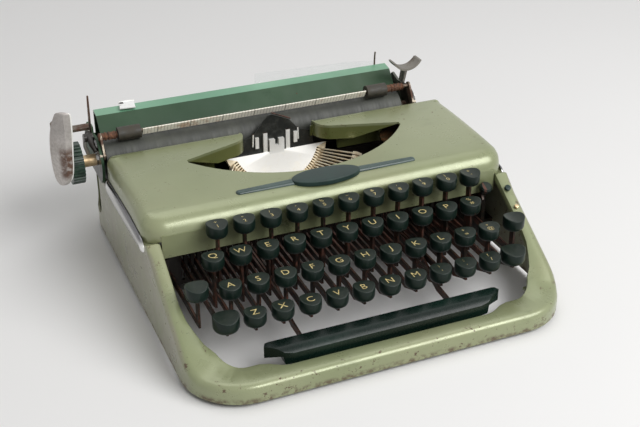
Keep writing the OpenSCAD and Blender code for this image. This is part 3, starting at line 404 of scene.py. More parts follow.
# For each two-tone finish what stained() takes after f: first tone, second tone, grain, spread,
# roughness, metal, relief, and then stretch, seeds and other sockets where it has them
STAINED = {
    # Green-black plastic of the platen knob, its ribs rubbed paler
    "knob plastic": ((24, 42, 34), (52, 74, 60), (300, 4, 0.65), (0.35, 0.7), (0.28, 0.42), 0.0,
        (1100, 3, 0.5, 0.05, 0.0002), None, (4.0, 2.0)),
    # Pale gold paint rubbed into the legends, thinner in places
    "legend": ((160, 142, 90), (226, 208, 146), (800, 4, 0.7), (0.35, 0.62), (0.6, 0.42), 0.0, None),
    # Flat steel strip gone dark brown, with reddish rust
    "lever steel": ((50, 44, 40), (96, 58, 44), (130, 5, 0.7), (0.42, 0.66), (0.38, 0.7), (0.7, 0.2),
        (900, 4, 0.7, 0.15, 0.0002), (3, 0.6, 1.5)),
    "soft rubber": ((44, 42, 36), (66, 60, 50), (180, 5, 0.65), (0.35, 0.7), (0.5, 0.75), 0.0,
        (700, 4, 0.6, 0.25, 0.0003)),
    # White lacquered spring clip, scuffed grey at its corners
    "clip white": ((252, 252, 250), (170, 168, 160), (260, 5, 0.7), (0.58, 0.7), (0.25, 0.5), 0.0,
        (600, 3, 0.5, 0.05, 0.0002)),
    "aged steel": ((120, 112, 100), (84, 56, 42), (110, 5, 0.72), (0.4, 0.62), (0.32, 0.68), (0.85, 0.25),
        (800, 4, 0.7, 0.2, 0.0003)),
    "nickel": ((250, 250, 247), (236, 235, 229), (60, 4, 0.6), (0.3, 0.75), (0.3, 0.42), 0.15,
        (900, 3, 0.5, 0.03, 0.0002)),
    # Type bars: nickelled strip with straw-coloured tarnish
    "type metal": ((250, 242, 220), (216, 196, 162), (90, 5, 0.65), (0.3, 0.7), (0.3, 0.5), 0.35,
        (1200, 3, 0.6, 0.1, 0.0002)),
    "slotted tan": ((250, 236, 206), (226, 206, 170), (120, 5, 0.65), (0.35, 0.7), (0.42, 0.62), 0.25,
        (700, 4, 0.6, 0.2, 0.0003)),
    # Off-white lacquer of the segment, a little yellow, with faint handling marks
    "ivory": ((254, 253, 249), (246, 242, 232), (70, 5, 0.7), (0.45, 0.75), (0.34, 0.5), 0.2,
        (800, 3, 0.6, 0.02, 0.0002)),
    "dark card": ((38, 40, 38), (66, 68, 64), (160, 5, 0.7), (0.45, 0.7), (0.42, 0.62), 0.2,
        (900, 3, 0.6, 0.1, 0.0002)),
    "brass": ((222, 200, 164), (186, 160, 122), (120, 5, 0.65), (0.35, 0.7), (0.34, 0.5), 0.8,
        (700, 3, 0.6, 0.1, 0.0002)),
    "badge plastic": ((32, 50, 47), (44, 62, 58), (90, 4, 0.6), (0.35, 0.75), (0.3, 0.42), 0.0,
        (900, 3, 0.5, 0.04, 0.0002), None, (0, 0), [("Specular IOR Level", 0.3)]),
    "bar plastic": ((48, 64, 62), (74, 92, 88), (70, 4, 0.6), (0.35, 0.7), (0.22, 0.36), 0.0,
        (900, 3, 0.5, 0.04, 0.0002), (0.4, 2, 2), (0, 0), [("Specular IOR Level", 0.45)]),
    # Celluloid sheet: nearly clear, a little cloudy
    "clear strip": ((238, 242, 242), (210, 218, 216), (60, 4, 0.6), (0.4, 0.75), (0.08, 0.22), 0.0, None,
        None, (0, 0), [("Transmission Weight", 0.9), ("IOR", 1.2), ("Alpha", 0.3)]),
    # Black-green bead, dusty: painted shadow standing for the dark gap of the seam above each side strip
    "seam shadow dark": ((20, 24, 18), (44, 48, 38), (200, 4, 0.6), (0.4, 0.7), (0.5, 0.75), 0.0,
        (700, 3, 0.5, 0.15, 0.0002)),
    "spool paint": ((96, 80, 58), (120, 78, 46), (110, 5, 0.7), (0.4, 0.65), (0.38, 0.62), 0.4,
        (700, 4, 0.6, 0.15, 0.0003)),
}


class Surface:
    """Collects grids of points, in metres, into one mesh with a finish for each part."""

    def __init__(self):
        self.points, self.faces, self.finish = [], [], []
        self.count = 0

    def add(self, points, faces, part=0):
        points = np.asarray(points, float).reshape(-1, 3)
        faces = np.asarray(faces, int)
        self.points.append(points)
        self.faces.append(faces + self.count)
        self.finish.append(np.broadcast_to(part, len(faces)).astype(np.int32))
        self.count += len(points)
        return self

    def grid(self, points, part=0, around=True, along=False):
        """Points of shape (u, v, 3), joined by four-sided faces; around closes v, along closes u."""
        nu, nv = points.shape[:2]
        u = np.arange(nu if along else nu - 1)[:, None]
        v = np.arange(nv if around else nv - 1)[None, :]
        u1, v1 = (u + 1) % nu, (v + 1) % nv
        corners = np.broadcast_arrays(u * nv + v, u1 * nv + v, u1 * nv + v1, u * nv + v1)
        return self.add(points, np.stack(corners, -1).reshape(-1, 4), part)

    def piece(self, name, finishes, body, slot, smooth=40.0):
        """Joins doubles, closes the poles, turns the faces outwards and makes the piece ride on its body."""
        mesh = bpy.data.meshes.new(name)
        faces = [face for block in self.faces for face in block.tolist()]
        mesh.from_pydata(np.concatenate(self.points).tolist(), [], faces)
        mesh.polygons.foreach_set("material_index", np.concatenate(self.finish))
        bm = bmesh.new()
        bm.from_mesh(mesh)
        bmesh.ops.remove_doubles(bm, verts=bm.verts, dist=2e-6)
        bmesh.ops.dissolve_degenerate(bm, edges=bm.edges, dist=1e-7)
        bmesh.ops.recalc_face_normals(bm, faces=bm.faces)
        bm.to_mesh(mesh)
        bm.free()
        return finished(mesh, name, finishes, body, smooth)


def finished(mesh, name, finishes, body, smooth):
    """Gives the mesh its finishes and smooth faces, and links it as a piece of the object."""
    for f in finishes:
        mesh.materials.append(finish(f))
    mesh.polygons.foreach_set("use_smooth", np.ones(len(mesh.polygons), bool))
    mesh.set_sharp_from_angle(angle=math.radians(smooth))
    obj = bpy.data.objects.new(name, mesh)
    bpy.context.scene.collection.objects.link(obj)
    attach(obj, body)
    return obj


def body_of(node):
    """Name of the body that the CAD node rides on."""
    return frame["nodes"][node]["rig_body"]


def points_of(mesh):
    """The mesh's points as an array of shape (n, 3)."""
    co = np.empty(len(mesh.vertices) * 3, np.float32)
    mesh.vertices.foreach_get("co", co)
    return co.reshape(-1, 3).astype(float)


def cad_triangles(node):
    """The node's points with doubles joined, and its triangles."""
    mesh = frame["nodes"][node].data
    co = points_of(mesh)
    mesh.calc_loop_triangles()
    tri = np.empty(len(mesh.loop_triangles) * 3, np.int32)
    mesh.loop_triangles.foreach_get("vertices", tri)
    cells = np.round(co / 2e-6).astype(np.int64)
    _, first, where = np.unique(cells, axis=0, return_index=True, return_inverse=True)
    tri = where.reshape(-1)[tri].reshape(-1, 3)
    tri = tri[(tri[:, 0] != tri[:, 1]) & (tri[:, 1] != tri[:, 2]) & (tri[:, 2] != tri[:, 0])]
    return co[first], tri


def dress(node, finishes, choose=None, smooth=32.0, reshape=None):
    """
    A copy of the CAD node's surface with joined points and smooth curves.

    choose gets x, y and z of the middle of every triangle, in machine millimetres, and gives the number of
    its finish; reshape gets the points in machine millimetres and gives them back moved.
    """
    points, tri = cad_triangles(node)
    if reshape:
        points = (reshape(points / MM - MACHINE_ZERO) + MACHINE_ZERO) * MM
    mesh = bpy.data.meshes.new(node + "_dressed")
    mesh.from_pydata(points.tolist(), [], tri.tolist())
    if choose:
        middles = points[tri].mean(1) / MM - MACHINE_ZERO
        mesh.polygons.foreach_set("material_index", choose(*middles.T).astype(np.int32))
    obj = finished(mesh, node + "_dressed", finishes, body_of(node), smooth)
    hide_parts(node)


def closed(rows):
    """Rings of shape (u, v, 3) with the first and the last drawn together to their middles."""
    tips = rows.mean(1, keepdims=True).repeat(rows.shape[1], 1)
    return np.concatenate([tips[:1], rows, tips[-1:]])


def tube(path, radius, sides=12, squash=1.0):
    """Circle of the radius carried along a path of points in machine millimetres; ends closed to a point."""
    path = np.asarray(path, float)
    step = np.gradient(path, axis=0)
    step /= np.linalg.norm(step, axis=1, keepdims=True)
    side = np.cross(step, [0.0, 0.0, 1.0] if abs(step[:, 2]).max() < 0.9 else [0.0, 1.0, 0.0])
    side /= np.linalg.norm(side, axis=1, keepdims=True)
    up = np.cross(side, step)
    a = circle(sides)[:, None]
    ring = np.cos(a) * side[:, None] + np.sin(a) * up[:, None] * squash
    rows = path[:, None] + ring * np.broadcast_to(radius, len(path))[:, None, None]
    return closed(at(rows[..., 0], rows[..., 1], rows[..., 2]))


def tubes(*rods):
    """One surface of several tubes, each given as tube() takes it."""
    s = Surface()
    for rod in rods:
        s.grid(tube(*rod))
    return s


def button(radii, heights, sides, place):
    """Turned button: circles of the radii at the heights; place turns (a, b, height) into points."""
    u = circle(sides)
    r, h = np.array(radii)[:, None], np.array(heights)[:, None]
    return Surface().grid(closed(place(r * np.cos(u), r * np.sin(u), h)))


def smoothed(corners, times=3):
    """Closed outline with its corners cut: a quarter of each side is taken off at both ends, times over."""
    edge = np.asarray(corners, float)
    for _ in range(times):
        after = np.roll(edge, -1, 0)
        edge = np.stack([0.75 * edge + 0.25 * after, 0.25 * edge + 0.75 * after], 1).reshape(-1, 2)
    return edge


def slab(surface, outline, low, high, place, part=0, bevel=0.0):
    """
    A flat outline of shape (n, 2) given thickness from low to high.

    Its rings are the middle, the outline drawn in by the bevel and the outline itself, and the same again
    from the top; place turns (a, b, height) into points.
    """
    outline = np.asarray(outline, float)
    middle = np.broadcast_to(outline.mean(0), outline.shape)
    arm = outline - middle
    inner = middle + arm * (1 - bevel / np.maximum(np.linalg.norm(arm, axis=1, keepdims=True), 1e-9))
    rows = [(middle, low), (inner, low), (outline, low + bevel)]
    rows += [(outline, high - bevel), (inner, high), (middle, high)]
    points = np.stack([place(r[:, 0], r[:, 1], np.full(len(r), h)) for r, h in rows])
    surface.grid(points, part)


CAP_D, CAP_H, SCOOP_R, RIM_R = 15.0, 8.5, 17.0, 0.6
PITCH, ROW_Y, ROW_Z, ROW_STEP, ROW_RISE = 19.05, 36.8, 42.8, 19.1, 11.7
# Each row from the front: place of its first key in pitches from the middle, and the names of its keys
ROWS = [
    (-4.5, ["z", "x", "c", "v", "b", "n", "m", "comma", "period", "slash"]),
    (-5.0, ["a", "s", "d", "f", "g", "h", "j", "k", "l", "semicolon", "at"]),
    (-5.25, ["q", "w", "e", "r", "t", "y", "u", "i", "o", "p", "half"]),
    (-4.75, ["1", "2", "3", "4", "5", "6", "7", "8", "9", "0", "hyphen"]),
]
MARKS = {
    "comma": (";", ","), "period": (":", "."), "slash": ("?", "/"), "semicolon": ("+", "="),
    "at": ("*", "@"), "half": ("%", "#"), "1": ("+", "1"), "2": ('"', "2"), "3": ("/", "3"),
    "4": ("-", "4"), "5": ("%", "5"), "6": ("_", "6"), "7": ("&", "7"), "8": ("'", "8"), "9": ("(", "9"),
    "0": (")", "0"), "hyphen": ("=", "-"),
}
# x, y and z of the middle of a top, and its diameter
SHIFT_SPOTS = [(-104.775, 38, 42.8, 17.5), (104.775, 38, 42.8, 17.5), (-117, 58, 57, 15.5)]
BACKSPACE_SPOTS = [(117, 58.7, 56, 15.5)]
BAR_ARM_X, BAR_ARM_Y, SELECTOR_X = 54.77, 26.05, 114.3


def scoop(x):
    """Height of a cap's hollow top at a distance x from its middle: a cylinder that runs front to back."""
    return SCOOP_R - np.sqrt(SCOOP_R**2 - np.square(x))


def cap_points(x, y, z, d, h, around):
    """
    Cap as rings about its axis, for a diameter d and a height h.

    The top follows the scoop, its rim turns down on a quarter circle of RIM_R, and the wall runs straight
    down and is drawn in a little at its foot.
    """
    r = d / 2
    flat = r - RIM_R
    a = circle(around)
    turn = np.radians([90, 68, 45, 22, 0])
    inside = flat * np.array([0, 0.3, 0.6, 0.8, 0.93])
    reach = np.concatenate([inside, flat + RIM_R * np.cos(turn)])
    drop = np.concatenate([np.zeros(5), RIM_R * (1 - np.sin(turn))])[:, None]
    hollow = scoop(np.minimum(reach[:, None] * np.abs(np.cos(a)), flat * np.abs(np.cos(a)) + 1e-9))
    foot = np.array([
        [r, 3.4 - h], [r - 0.15, 2.1 - h], [r - 0.7, 0.8 - h], [r - 1.7, -h], [r / 2, -h], [0, -h]])
    rings = np.concatenate([reach, foot[:, 0]])[:, None]
    heights = np.concatenate([hollow - drop, np.broadcast_to(foot[:, 1:], (len(foot), around))])
    return at(x + rings * np.cos(a), y + rings * np.sin(a), z + heights)


def legend_points(text, size):
    """Outline of a generic mark as flat points in millimetres and its triangles, centred on zero."""
    curve = bpy.data.curves.new("mark", "FONT")
    curve.body = text
    curve.size = size
    curve.align_x, curve.align_y = "CENTER", "CENTER"
    curve.offset = -0.035
    curve.resolution_u = 3
    holder = bpy.data.objects.new("mark", curve)
    bpy.context.scene.collection.objects.link(holder)
    bpy.context.view_layer.update()
    mesh = bpy.data.meshes.new_from_object(holder.evaluated_get(bpy.context.evaluated_depsgraph_get()))
    bm = bmesh.new()
    bm.from_mesh(mesh)
    bmesh.ops.triangulate(bm, faces=bm.faces)
    bmesh.ops.remove_doubles(bm, verts=bm.verts, dist=1e-5)
    bm.to_mesh(mesh)
    bm.free()
    co = points_of(mesh)[:, :2]
    tri = np.array([list(p.vertices) for p in mesh.polygons])
    bpy.data.objects.remove(holder)
    bpy.data.curves.remove(curve)
    bpy.data.meshes.remove(mesh)
    return co - (co.max(0) + co.min(0)) / 2, tri


def add_legend(surface, text, size, spot, back, part, thick=0.06):
    """A thin solid mark in the hollow of a cap, set back from its middle: an outline bent to the scoop."""
    flat, tri = legend_points(text, size)
    x, y, z = spot[:3]
    px, py, pz = x + flat[:, 0], y + flat[:, 1] + back, z + scoop(flat[:, 0])
    n = len(flat)
    surface.add(np.concatenate([at(px, py, pz + thick), at(px, py, pz - thick)]),
                np.concatenate([tri, tri[:, ::-1] + n]), part)
    # An edge that no neighbour runs through the other way lies on the rim and gets a wall
    edges = np.concatenate([tri[:, [0, 1]], tri[:, [1, 2]], tri[:, [2, 0]]])
    rim = edges[~np.isin(edges[:, 0] * n + edges[:, 1], edges[:, 1] * n + edges[:, 0])]
    walls = np.stack([rim[:, 0], rim[:, 0] + n, rim[:, 1] + n, rim[:, 1]], -1)
    surface.add([], walls - 2 * n, part)


def add_levers(surface, node, cap_spots, part):
    """The steel pieces of a CAD key node: the triangles that aren't part of a cap."""
    points, tri = cad_triangles(node)
    corner = points[tri] / MM - MACHINE_ZERO
    keep = np.ones(len(tri), bool)
    for x, y, z, d in cap_spots:
        near = np.hypot(corner[..., 0] - x, corner[..., 1] - y) < d / 2 + 0.05
        high = corner[..., 2] > z - CAP_H - 0.01
        stem = (np.abs(corner[..., 0] - x) < STEEL) & (corner[..., 2] < z - CAP_H + 2.95)
        keep &= ~((near & high).all(1) & ~stem.all(1))
    used, where = np.unique(tri[keep], return_inverse=True)
    surface.add(points[used], where.reshape(-1, 3), part)


def key_piece(node, spots, text=()):
    """One key: cap surface, the CAD lever and the legend, riding and standing for its node."""
    s = Surface()
    around = bpy.context.scene.typewriter_keys.cap_sides
    for x, y, z, d in spots:
        s.grid(cap_points(x, y, z, d, CAP_H, around))
    add_levers(s, node, spots, 1)
    # Size of each mark and how far it is set back: a single one is larger, of a pair the first is behind
    layout = ((8.0, 0.1),) if len(text) == 1 else ((4.4, 3.0), (5.2, -2.3))
    for mark, (size, back) in zip(text, layout):
        add_legend(s, mark, size, spots[0], back, 2)
    finishes = ("key plastic", "lever steel", "legend")
    obj = s.piece(node + "_dressed", finishes, body_of(node), "key_plastic", 42.0)
    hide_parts(node)


class TypewriterBody(bpy.types.PropertyGroup):
    """Colours of the enamel and sizes of the trim"""

    light_olive: FloatVectorProperty(
        name="Light olive", description="Enamel colour where it is brightest", subtype="COLOR", size=3,
        default=srgb(150, 156, 120)[:3], min=0, max=1,
    )
    dark_olive: FloatVectorProperty(
        name="Dark olive", description="Enamel colour in its darker clouds", subtype="COLOR", size=3,
        default=srgb(130, 138, 99)[:3], min=0, max=1,
    )
    strip_height: FloatProperty(
        name="Trim height", description="Height of the bright strip along each side", default=13.0 * MM,
        min=6 * MM, max=14 * MM, unit="LENGTH",
    )
    badge_length: FloatProperty(
        name="Badge length", description="Length of the bare oval badge", default=51.6 * MM, min=30 * MM,
        max=60 * MM, unit="LENGTH",
    )


class TypewriterKeys(bpy.types.PropertyGroup):
    """Looks of the key tops"""

    cap_colour: FloatVectorProperty(
        name="Cap colour", description="Colour of the key tops", subtype="COLOR", size=3,
        default=srgb(14, 28, 23)[:3], min=0, max=1,
    )
    cap_sides: IntProperty(name="Cap sides", description="Faces round a key top", default=48, min=24, max=96)


class TypewriterStage(bpy.types.PropertyGroup):
    """Floor, lamps and camera"""

    floor_colour: FloatVectorProperty(
        name="Floor colour", description="Colour of the floor", subtype="COLOR", size=3,
        default=(0.86, 0.855, 0.85), min=0, max=1,
    )
    lamp_power: FloatProperty(
        name="Lamp power", description="Power of the soft key lamp", default=24.5, min=1, max=500,
        unit="POWER",
    )
    lens: FloatProperty(
        name="Lens", description="Focal length of the camera", default=63.15, min=20, max=200, unit="CAMERA",
    )


class TYPEWRITER_OT_housing(bpy.types.Operator):
    """Finishes the base housing, the cover, the feet and the inner frame"""

    bl_idname = "typewriter.housing"
    bl_label = "Housing and cover"

    def execute(self, context):
        dress("base_housing", ["housing enamel"], smooth=38)
        dress("top_cover", ["body enamel"], smooth=30)
        dress("rubber_feet", ["soft rubber"])

        def on_shaft(x, y, z):
            return (abs(y - KEY_SHAFT_Y) < KEY_SHAFT_R) & (abs(z - KEY_SHAFT_Z) < KEY_SHAFT_R)

        dress("inner_frame", ["dark frame", "aged steel"], on_shaft)
        return {"FINISHED"}


STRIP_FRONT, STRIP_REAR, FRONT_ROUND, REAR_ROUND = 107.0, 209.4, 5.0, 4.6
BADGE_X, BADGE_Y, BADGE_HALF_Y, BADGE_WALL, BADGE_RISE = -1.2, 119.6, 10.6, 1.5, 2.3
BAR_Y, BAR_Z, BAR_HALF_Y, BAR_RISE, BAR_END = 120.3, 82.9, 3.7, 2.6, 2.4
BAND_X, BAND_SLOPE = 130.6, math.atan2(51.4, 83)  # middle and slope of the side bands beside the keys


def front_of_cover(y):
    """Height of the cover near its front edge: a quarter circle of the radius ROLL_R, then the crown."""
    before = np.minimum(np.asarray(y, float) - ROLL_Y, 0)
    return np.minimum(ROLL_Z + np.sqrt(np.maximum(ROLL_R**2 - np.square(before), 0)), CROWN_Z)


def strip_edges(y, height):
    """Upper and lower edge of the side strip: a flat arc that falls to the rear and narrows in front."""
    top = np.interp(y, [107, 113, 119, 142, 170, 210], [64.4, 67.4, 68.6, 69.4, 68.5, 66.5])
    share = np.interp(y, [107, 113, 125, 147, 182, 210], [0.5, 0.72, 0.93, 1.05, 1.03, 0.9])
    return top, top - share * height


def side_strip(side, height):
    """
    Rings of a bright strip, front to rear: a flat back on the wall and a rounded face 2.3 mm proud of it.

    Both the bulge and the half height are multiplied by the root of 1 - (1 - t) squared, where t runs from 0
    to 1 over the rounded length at each end.
    """
    quarter = np.linspace(0, math.pi / 2, 9)
    y = np.concatenate([STRIP_FRONT + FRONT_ROUND * (1 - np.cos(quarter)), np.linspace(113, 204, 34),
                        STRIP_REAR - REAR_ROUND * (1 - np.sin(quarter))])
    ends = np.minimum((y - STRIP_FRONT) / FRONT_ROUND, (STRIP_REAR + 0.01 - y) / REAR_ROUND)
    taper = np.sqrt(1 - np.square(1 - np.clip(ends, 0.0, 1.0)))[:, None]
    top, low = (edge[:, None] for edge in strip_edges(y, height))
    a = np.linspace(-math.pi / 2, math.pi / 2, 15)
    x = WALL_X + 0.05 + 2.3 * np.cos(a) ** 0.8 * np.maximum(taper, 0.05)
    x = np.concatenate([x, np.broadcast_to(WALL_X - 0.1, (len(y), 2))], 1)
    z = (top + low) / 2 + (top - low) / 2 * np.sin(a) * np.maximum(taper, 0.02)
    z = np.concatenate([z, z[:, -1:], z[:, :1]], 1)
    return closed(at(side * x, y[:, None], z))


def seam_shadow_bead(side, height):
    """Path of the thin dark bead along the upper edge of a side strip: painted shadow of the seam there."""
    y = np.linspace(118, 208.5, 40)
    above = strip_edges(y, height)[0] + 0.9
    return np.stack([np.full(len(y), side * WALL_X), y, above], -1)


def badge_rings(length):
    """
    The bare oval as ellipses at heights above the cover's front.

    Its wall is straight, the edge turns in on a quarter ellipse, and the top rises a little to its middle.
    """
    u = circle(72)
    v = np.linspace(0, math.pi / 2, 9)
    reach = np.concatenate([[1.0, 1.0], 0.965 + 0.035 * np.cos(v), [0.7, 0.4, 0.0]])[:, None]
    edge = BADGE_WALL + (BADGE_RISE - BADGE_WALL) * np.sin(v)
    up = np.concatenate([[-0.8, BADGE_WALL], edge, BADGE_RISE + np.array([0.1, 0.15, 0.2])])[:, None]
    x, y = BADGE_X + length / 2 * reach * np.cos(u), BADGE_Y + BADGE_HALF_Y * reach * np.sin(u)
    return closed(at(x, y, front_of_cover(y) + up))


def badge_bar_rings():
    """The bar behind the badge: half ellipses along X, slimmer to the ends, closed on quarter circles."""
    turn = np.linspace(0, math.pi / 2, 8)
    run = BAR_END * (1 - np.cos(turn))
    x = np.concatenate([-67.7 + run, np.linspace(-64, 65, 30), 68.7 - run[::-1]])[:, None]
    end = np.sin(turn + 0.06)
    width = np.clip(np.concatenate([end, np.ones(30), end[::-1]]), 0, 1)[:, None]
    width = width * (1.12 - 0.34 * np.abs(x) / 68)
    a = np.linspace(0, math.pi, 13)
    return closed(at(x, BAR_Y + BAR_HALF_Y * width * np.cos(a), BAR_Z + BAR_RISE * width * np.sin(a)))


class TYPEWRITER_OT_trim(bpy.types.Operator):
    """Makes the side strips, the bare badge on its bar, and the two round marks on the right band"""

    bl_idname = "typewriter.trim"
    bl_label = "Trim"

    def execute(self, context):
        body = context.scene.typewriter_body
        height = body.strip_height / MM
        for side, word in ((-1, "left"), (1, "right")):
            s = Surface().grid(side_strip(side, height))
            s.piece("side_strip_" + word, ["bright trim"], ROOT, "carriage_metal", 50)
            # The dark bead is painted shadow of the seam between cover and housing
            s = tubes((seam_shadow_bead(side, height), 0.42, 8))
            s.piece("seam_shadow_bead_" + word, ["seam shadow dark"], ROOT, "feet_rubber", 50)
        for name, rings, stuff in (("badge", badge_rings(body.badge_length / MM), "badge plastic"),
                                   ("badge_bar", badge_bar_rings(), "bar plastic")):
            Surface().grid(rings).piece(name, [stuff], ROOT, "key_plastic", 40)
        cos, sin = math.cos(BAND_SLOPE), math.sin(BAND_SLOPE)
        for name, y, z, r, stuff in (("band_mark_upper", 90.0, 61.6, 2.3, "badge plastic"),
                                     ("band_mark_lower", 76.6, 52.9, 1.6, "brass")):
            s = button(r * np.array([1, 1, 0.93, 0.7, 0.35, 0]), [-1.2, 0.25, 0.5, 0.6, 0.66, 0.7], 28,
                       lambda a, b, h: at(BAND_X + a, y + b * cos - h * sin, z + b * sin + h * cos))
            s.piece(name, [stuff], ROOT, "key_plastic", 40)
        return {"FINISHED"}


class TYPEWRITER_OT_keys(bpy.types.Operator):
    """Makes every character key: hollow cap, legend and steel lever"""

    bl_idname = "typewriter.keys"
    bl_label = "Character keys"

    def execute(self, context):
        for row, (first, names) in enumerate(ROWS):
            for k, name in enumerate(names):
                spot = ((first + k) * PITCH, ROW_Y + row * ROW_STEP, ROW_Z + row * ROW_RISE, CAP_D)
                key_piece("type_key_" + name, [spot], MARKS.get(name, name.upper()))
        return {"FINISHED"}


class TYPEWRITER_OT_control_keys(bpy.types.Operator):
    """Makes the blank shift, lock and back space keys, the space bar and the ribbon selector"""

    bl_idname = "typewriter.control_keys"
    bl_label = "Control keys and space bar"

    def execute(self, context):
        key_piece("shift_keys", SHIFT_SPOTS)
        key_piece("backspace_key", BACKSPACE_SPOTS)
        dress("space_bar", ["marbled plastic", "lever steel"],
              lambda x, y, z: (abs(abs(x) - BAR_ARM_X) < STEEL) & (y > BAR_ARM_Y), smooth=25)
        dress("ribbon_selector", ["key plastic", "lever steel"], lambda x, y, z: abs(x - SELECTOR_X) < STEEL)
        return {"FINISHED"}


class TYPEWRITER_OT_type_basket(bpy.types.Operator):
    """Finishes the segment, the type bars, the type guide and the ribbon spools"""

    bl_idname = "typewriter.type_basket"
    bl_label = "Type basket and ribbon"

    def execute(self, context):
        def basket_part(x, y, z):
            """Numbers of the finishes; down runs along the segment's face, out stands square to it."""
            across, dy, dz = x - BASKET_X, y - BASKET_Y, z - BASKET_Z
            down = dy * math.cos(BASKET_TILT) + dz * math.sin(BASKET_TILT)
            out = -dy * math.sin(BASKET_TILT) + dz * math.cos(BASKET_TILT)
            reach = np.hypot(across, down)
            face = (out < 0.1) & (out > -4.2) & (reach < 43.6)
            slots = face & (reach > 34.5)
            guide = (y > 207.9) & (z > 59.5) & (abs(across) < 31.5) & (reach < 60)
            card = guide & (y > 210.9)
            prongs = guide & ~face
            wire = prongs & (z > 79.9)
            return np.select([card, wire, prongs, slots, face], [4, 5, 2, 1, 0], 3)

        dress("type_basket", ["ivory", "slotted tan", "nickel", "type metal", "dark card", "lever steel"],
              basket_part, smooth=35)
        for node, spool_x in (("ribbon_spool_left", -SPOOL_X), ("ribbon_spool_right", SPOOL_X)):
            def ribbon(x, y, z):
                return (np.hypot(x - spool_x, y - SPOOL_Y) > 10) & (z > 59.3) & (z < 70.7)

            dress(node, ["spool paint", "ribbon"], ribbon)
        return {"FINISHED"}


def frame_part(x, y, z):
    """Numbers of the platen frame's finishes: table, its top band, right flange, end plates, low pieces."""
    # The top band's paler enamel is a painted highlight on the table's bent top
    band = (z > 95.3) & (y > 256.5) & (x < 98)
    flange = (x > 116.5) & (x < 119.2)
    plates = (x < PLATE_LEFT - 0.01) | (x > PLATE_RIGHT + 0.01) | ((x < PLATE_LEFT + 0.2) & (z > 95))
    low = ((x < PLATE_LEFT + 0.1) | (x > 116.5)) & (z < 95) & (y < 242)
    pivot = (abs(x) > 114) & (np.hypot(y - 216.5, z - 81) < 1.6)
    return np.select([pivot, low, plates, flange, band], [3, 4, 3, 2, 1], 0)


def platen_part(x, y, z):
    """Numbers of the platen's finishes: rubber, shaft, collar, knob."""
    reach = np.hypot(y - PLATEN_Y, z - PLATEN_Z)
    shaft = (reach < 4.1) & (x > -150.6)
    return np.select([shaft, x <= -150.4, (x < PLATE_LEFT) & (reach > 4.1), x > -134.2], [1, 3, 2, 0], 1)


def slim_collar(points):
    """Draws the collar on the platen's shaft in from a radius of 6 mm to 4.5 mm."""
    axis = [PLATEN_Y, PLATEN_Z]
    across = points[:, 1:] - axis
    reach = np.hypot(across[:, 0], across[:, 1])
    collar = (points[:, 0] < PLATE_LEFT) & (points[:, 0] > -151) & (np.abs(reach - 6) < 0.3)
    slim = np.where(collar, 4.5 / np.maximum(reach, 1), 1)
    return np.column_stack([points[:, 0], axis + across * slim[:, None]])


class TYPEWRITER_OT_carriage(bpy.types.Operator):
    """Finishes the carriage, the platen and the paper table, and makes what is fixed to them"""

    bl_idname = "typewriter.carriage"
    bl_label = "Carriage"

    def execute(self, context):
        dress("carriage", ["grey enamel"])
        dress("platen_frame", ["green enamel", "table top highlight enamel", "grey enamel", "aged steel", "dark frame"],
              frame_part)
        dress("platen", ["platen rubber", "aged steel", "brass", "knob plastic"], platen_part,
              reshape=slim_collar)
        lift, slot = "platen_frame_body", "carriage_metal"
        s = Surface()
        slab(s, [(0.3, 88), (106.6, 86), (106.6, 99.6), (80, 102.4), (0.3, 104.6)], 267.9, 268.3,
             lambda a, b, h: at(a, h, b), bevel=0.08)
        s.piece("paper_support_strip", ["clear strip"], lift, slot, 30)
        s = Surface()
        slab(s, [(-112.5, 257.5), (-100.5, 256.2), (-98.8, 268.2), (-110.2, 268.9)], 97.3, 98.5, at, 0, 0.3)
        roll = [(-110.6, 268.9, 97.9), (-104.6, 269.2, 98.1), (-98.6, 268.6, 97.9)]
        s.grid(tube(roll, 1.0), 1)
        # The small dark plate on the clip is painted shade standing in for its notch
        slab(s, [(-110.6, 265.2), (-107.6, 264.8), (-107.4, 267.4), (-110.2, 267.7)], 98.4, 98.9, at, 2, 0.2)
        s.piece("paper_clip", ["clip white", "nickel", "dark frame"], lift, slot, 40)
        s = tubes(([(-140.2, 236.5, 68.5), (-142.6, 238.5, 72), (-144.6, 240.2, 80), (-144.4, 241.2, 88),
                    (-142.2, 241.4, 90.4), (-139.4, 241.2, 90.8)], 1.5, 14, 0.6))
        s.piece("spacing_spring", ["nickel"], lift, slot, 40)
        s = tubes(([(-140.4, 222, 83), (-142.0, 226, 87), (-142.6, 232, 90.5), (-142.4, 238, 92)],
                   [1.6, 2.2, 2.4, 1.8], 14),
                  ([(-139.4, 233.5, 90), (-146.5, 233.5, 90)], 3.1, 20))
        s.piece("spacing_pawl", ["dark frame"], lift, slot, 40)
        s = tubes(([(106.2, 267.2, 92), (106.2, 267.3, 99), (106.2, 267, 104), (106.0, 266, 108)], 0.7))
        s.piece("support_wire", ["aged steel"], lift, slot, 40)
        screws = ((-139.9, 222.5, 78.0), (-139.9, 226.0, 84.5), (119.9, 221.5, 84.0), (119.9, 236.0, 66.0))
        for k, (x, y, z) in enumerate(screws):
            outwards = 1 if x > 0 else -1
            s = button([2.2, 2.2, 1.8, 1.0, 0.0], [-0.9, 0.2, 0.6, 0.8, 0.9], 24,
                       lambda a, b, h: at(x + h * outwards, y + a, z + b))
            s.piece("end_plate_screw_%d" % k, ["nickel"], lift, slot, 40)
        return {"FINISHED"}


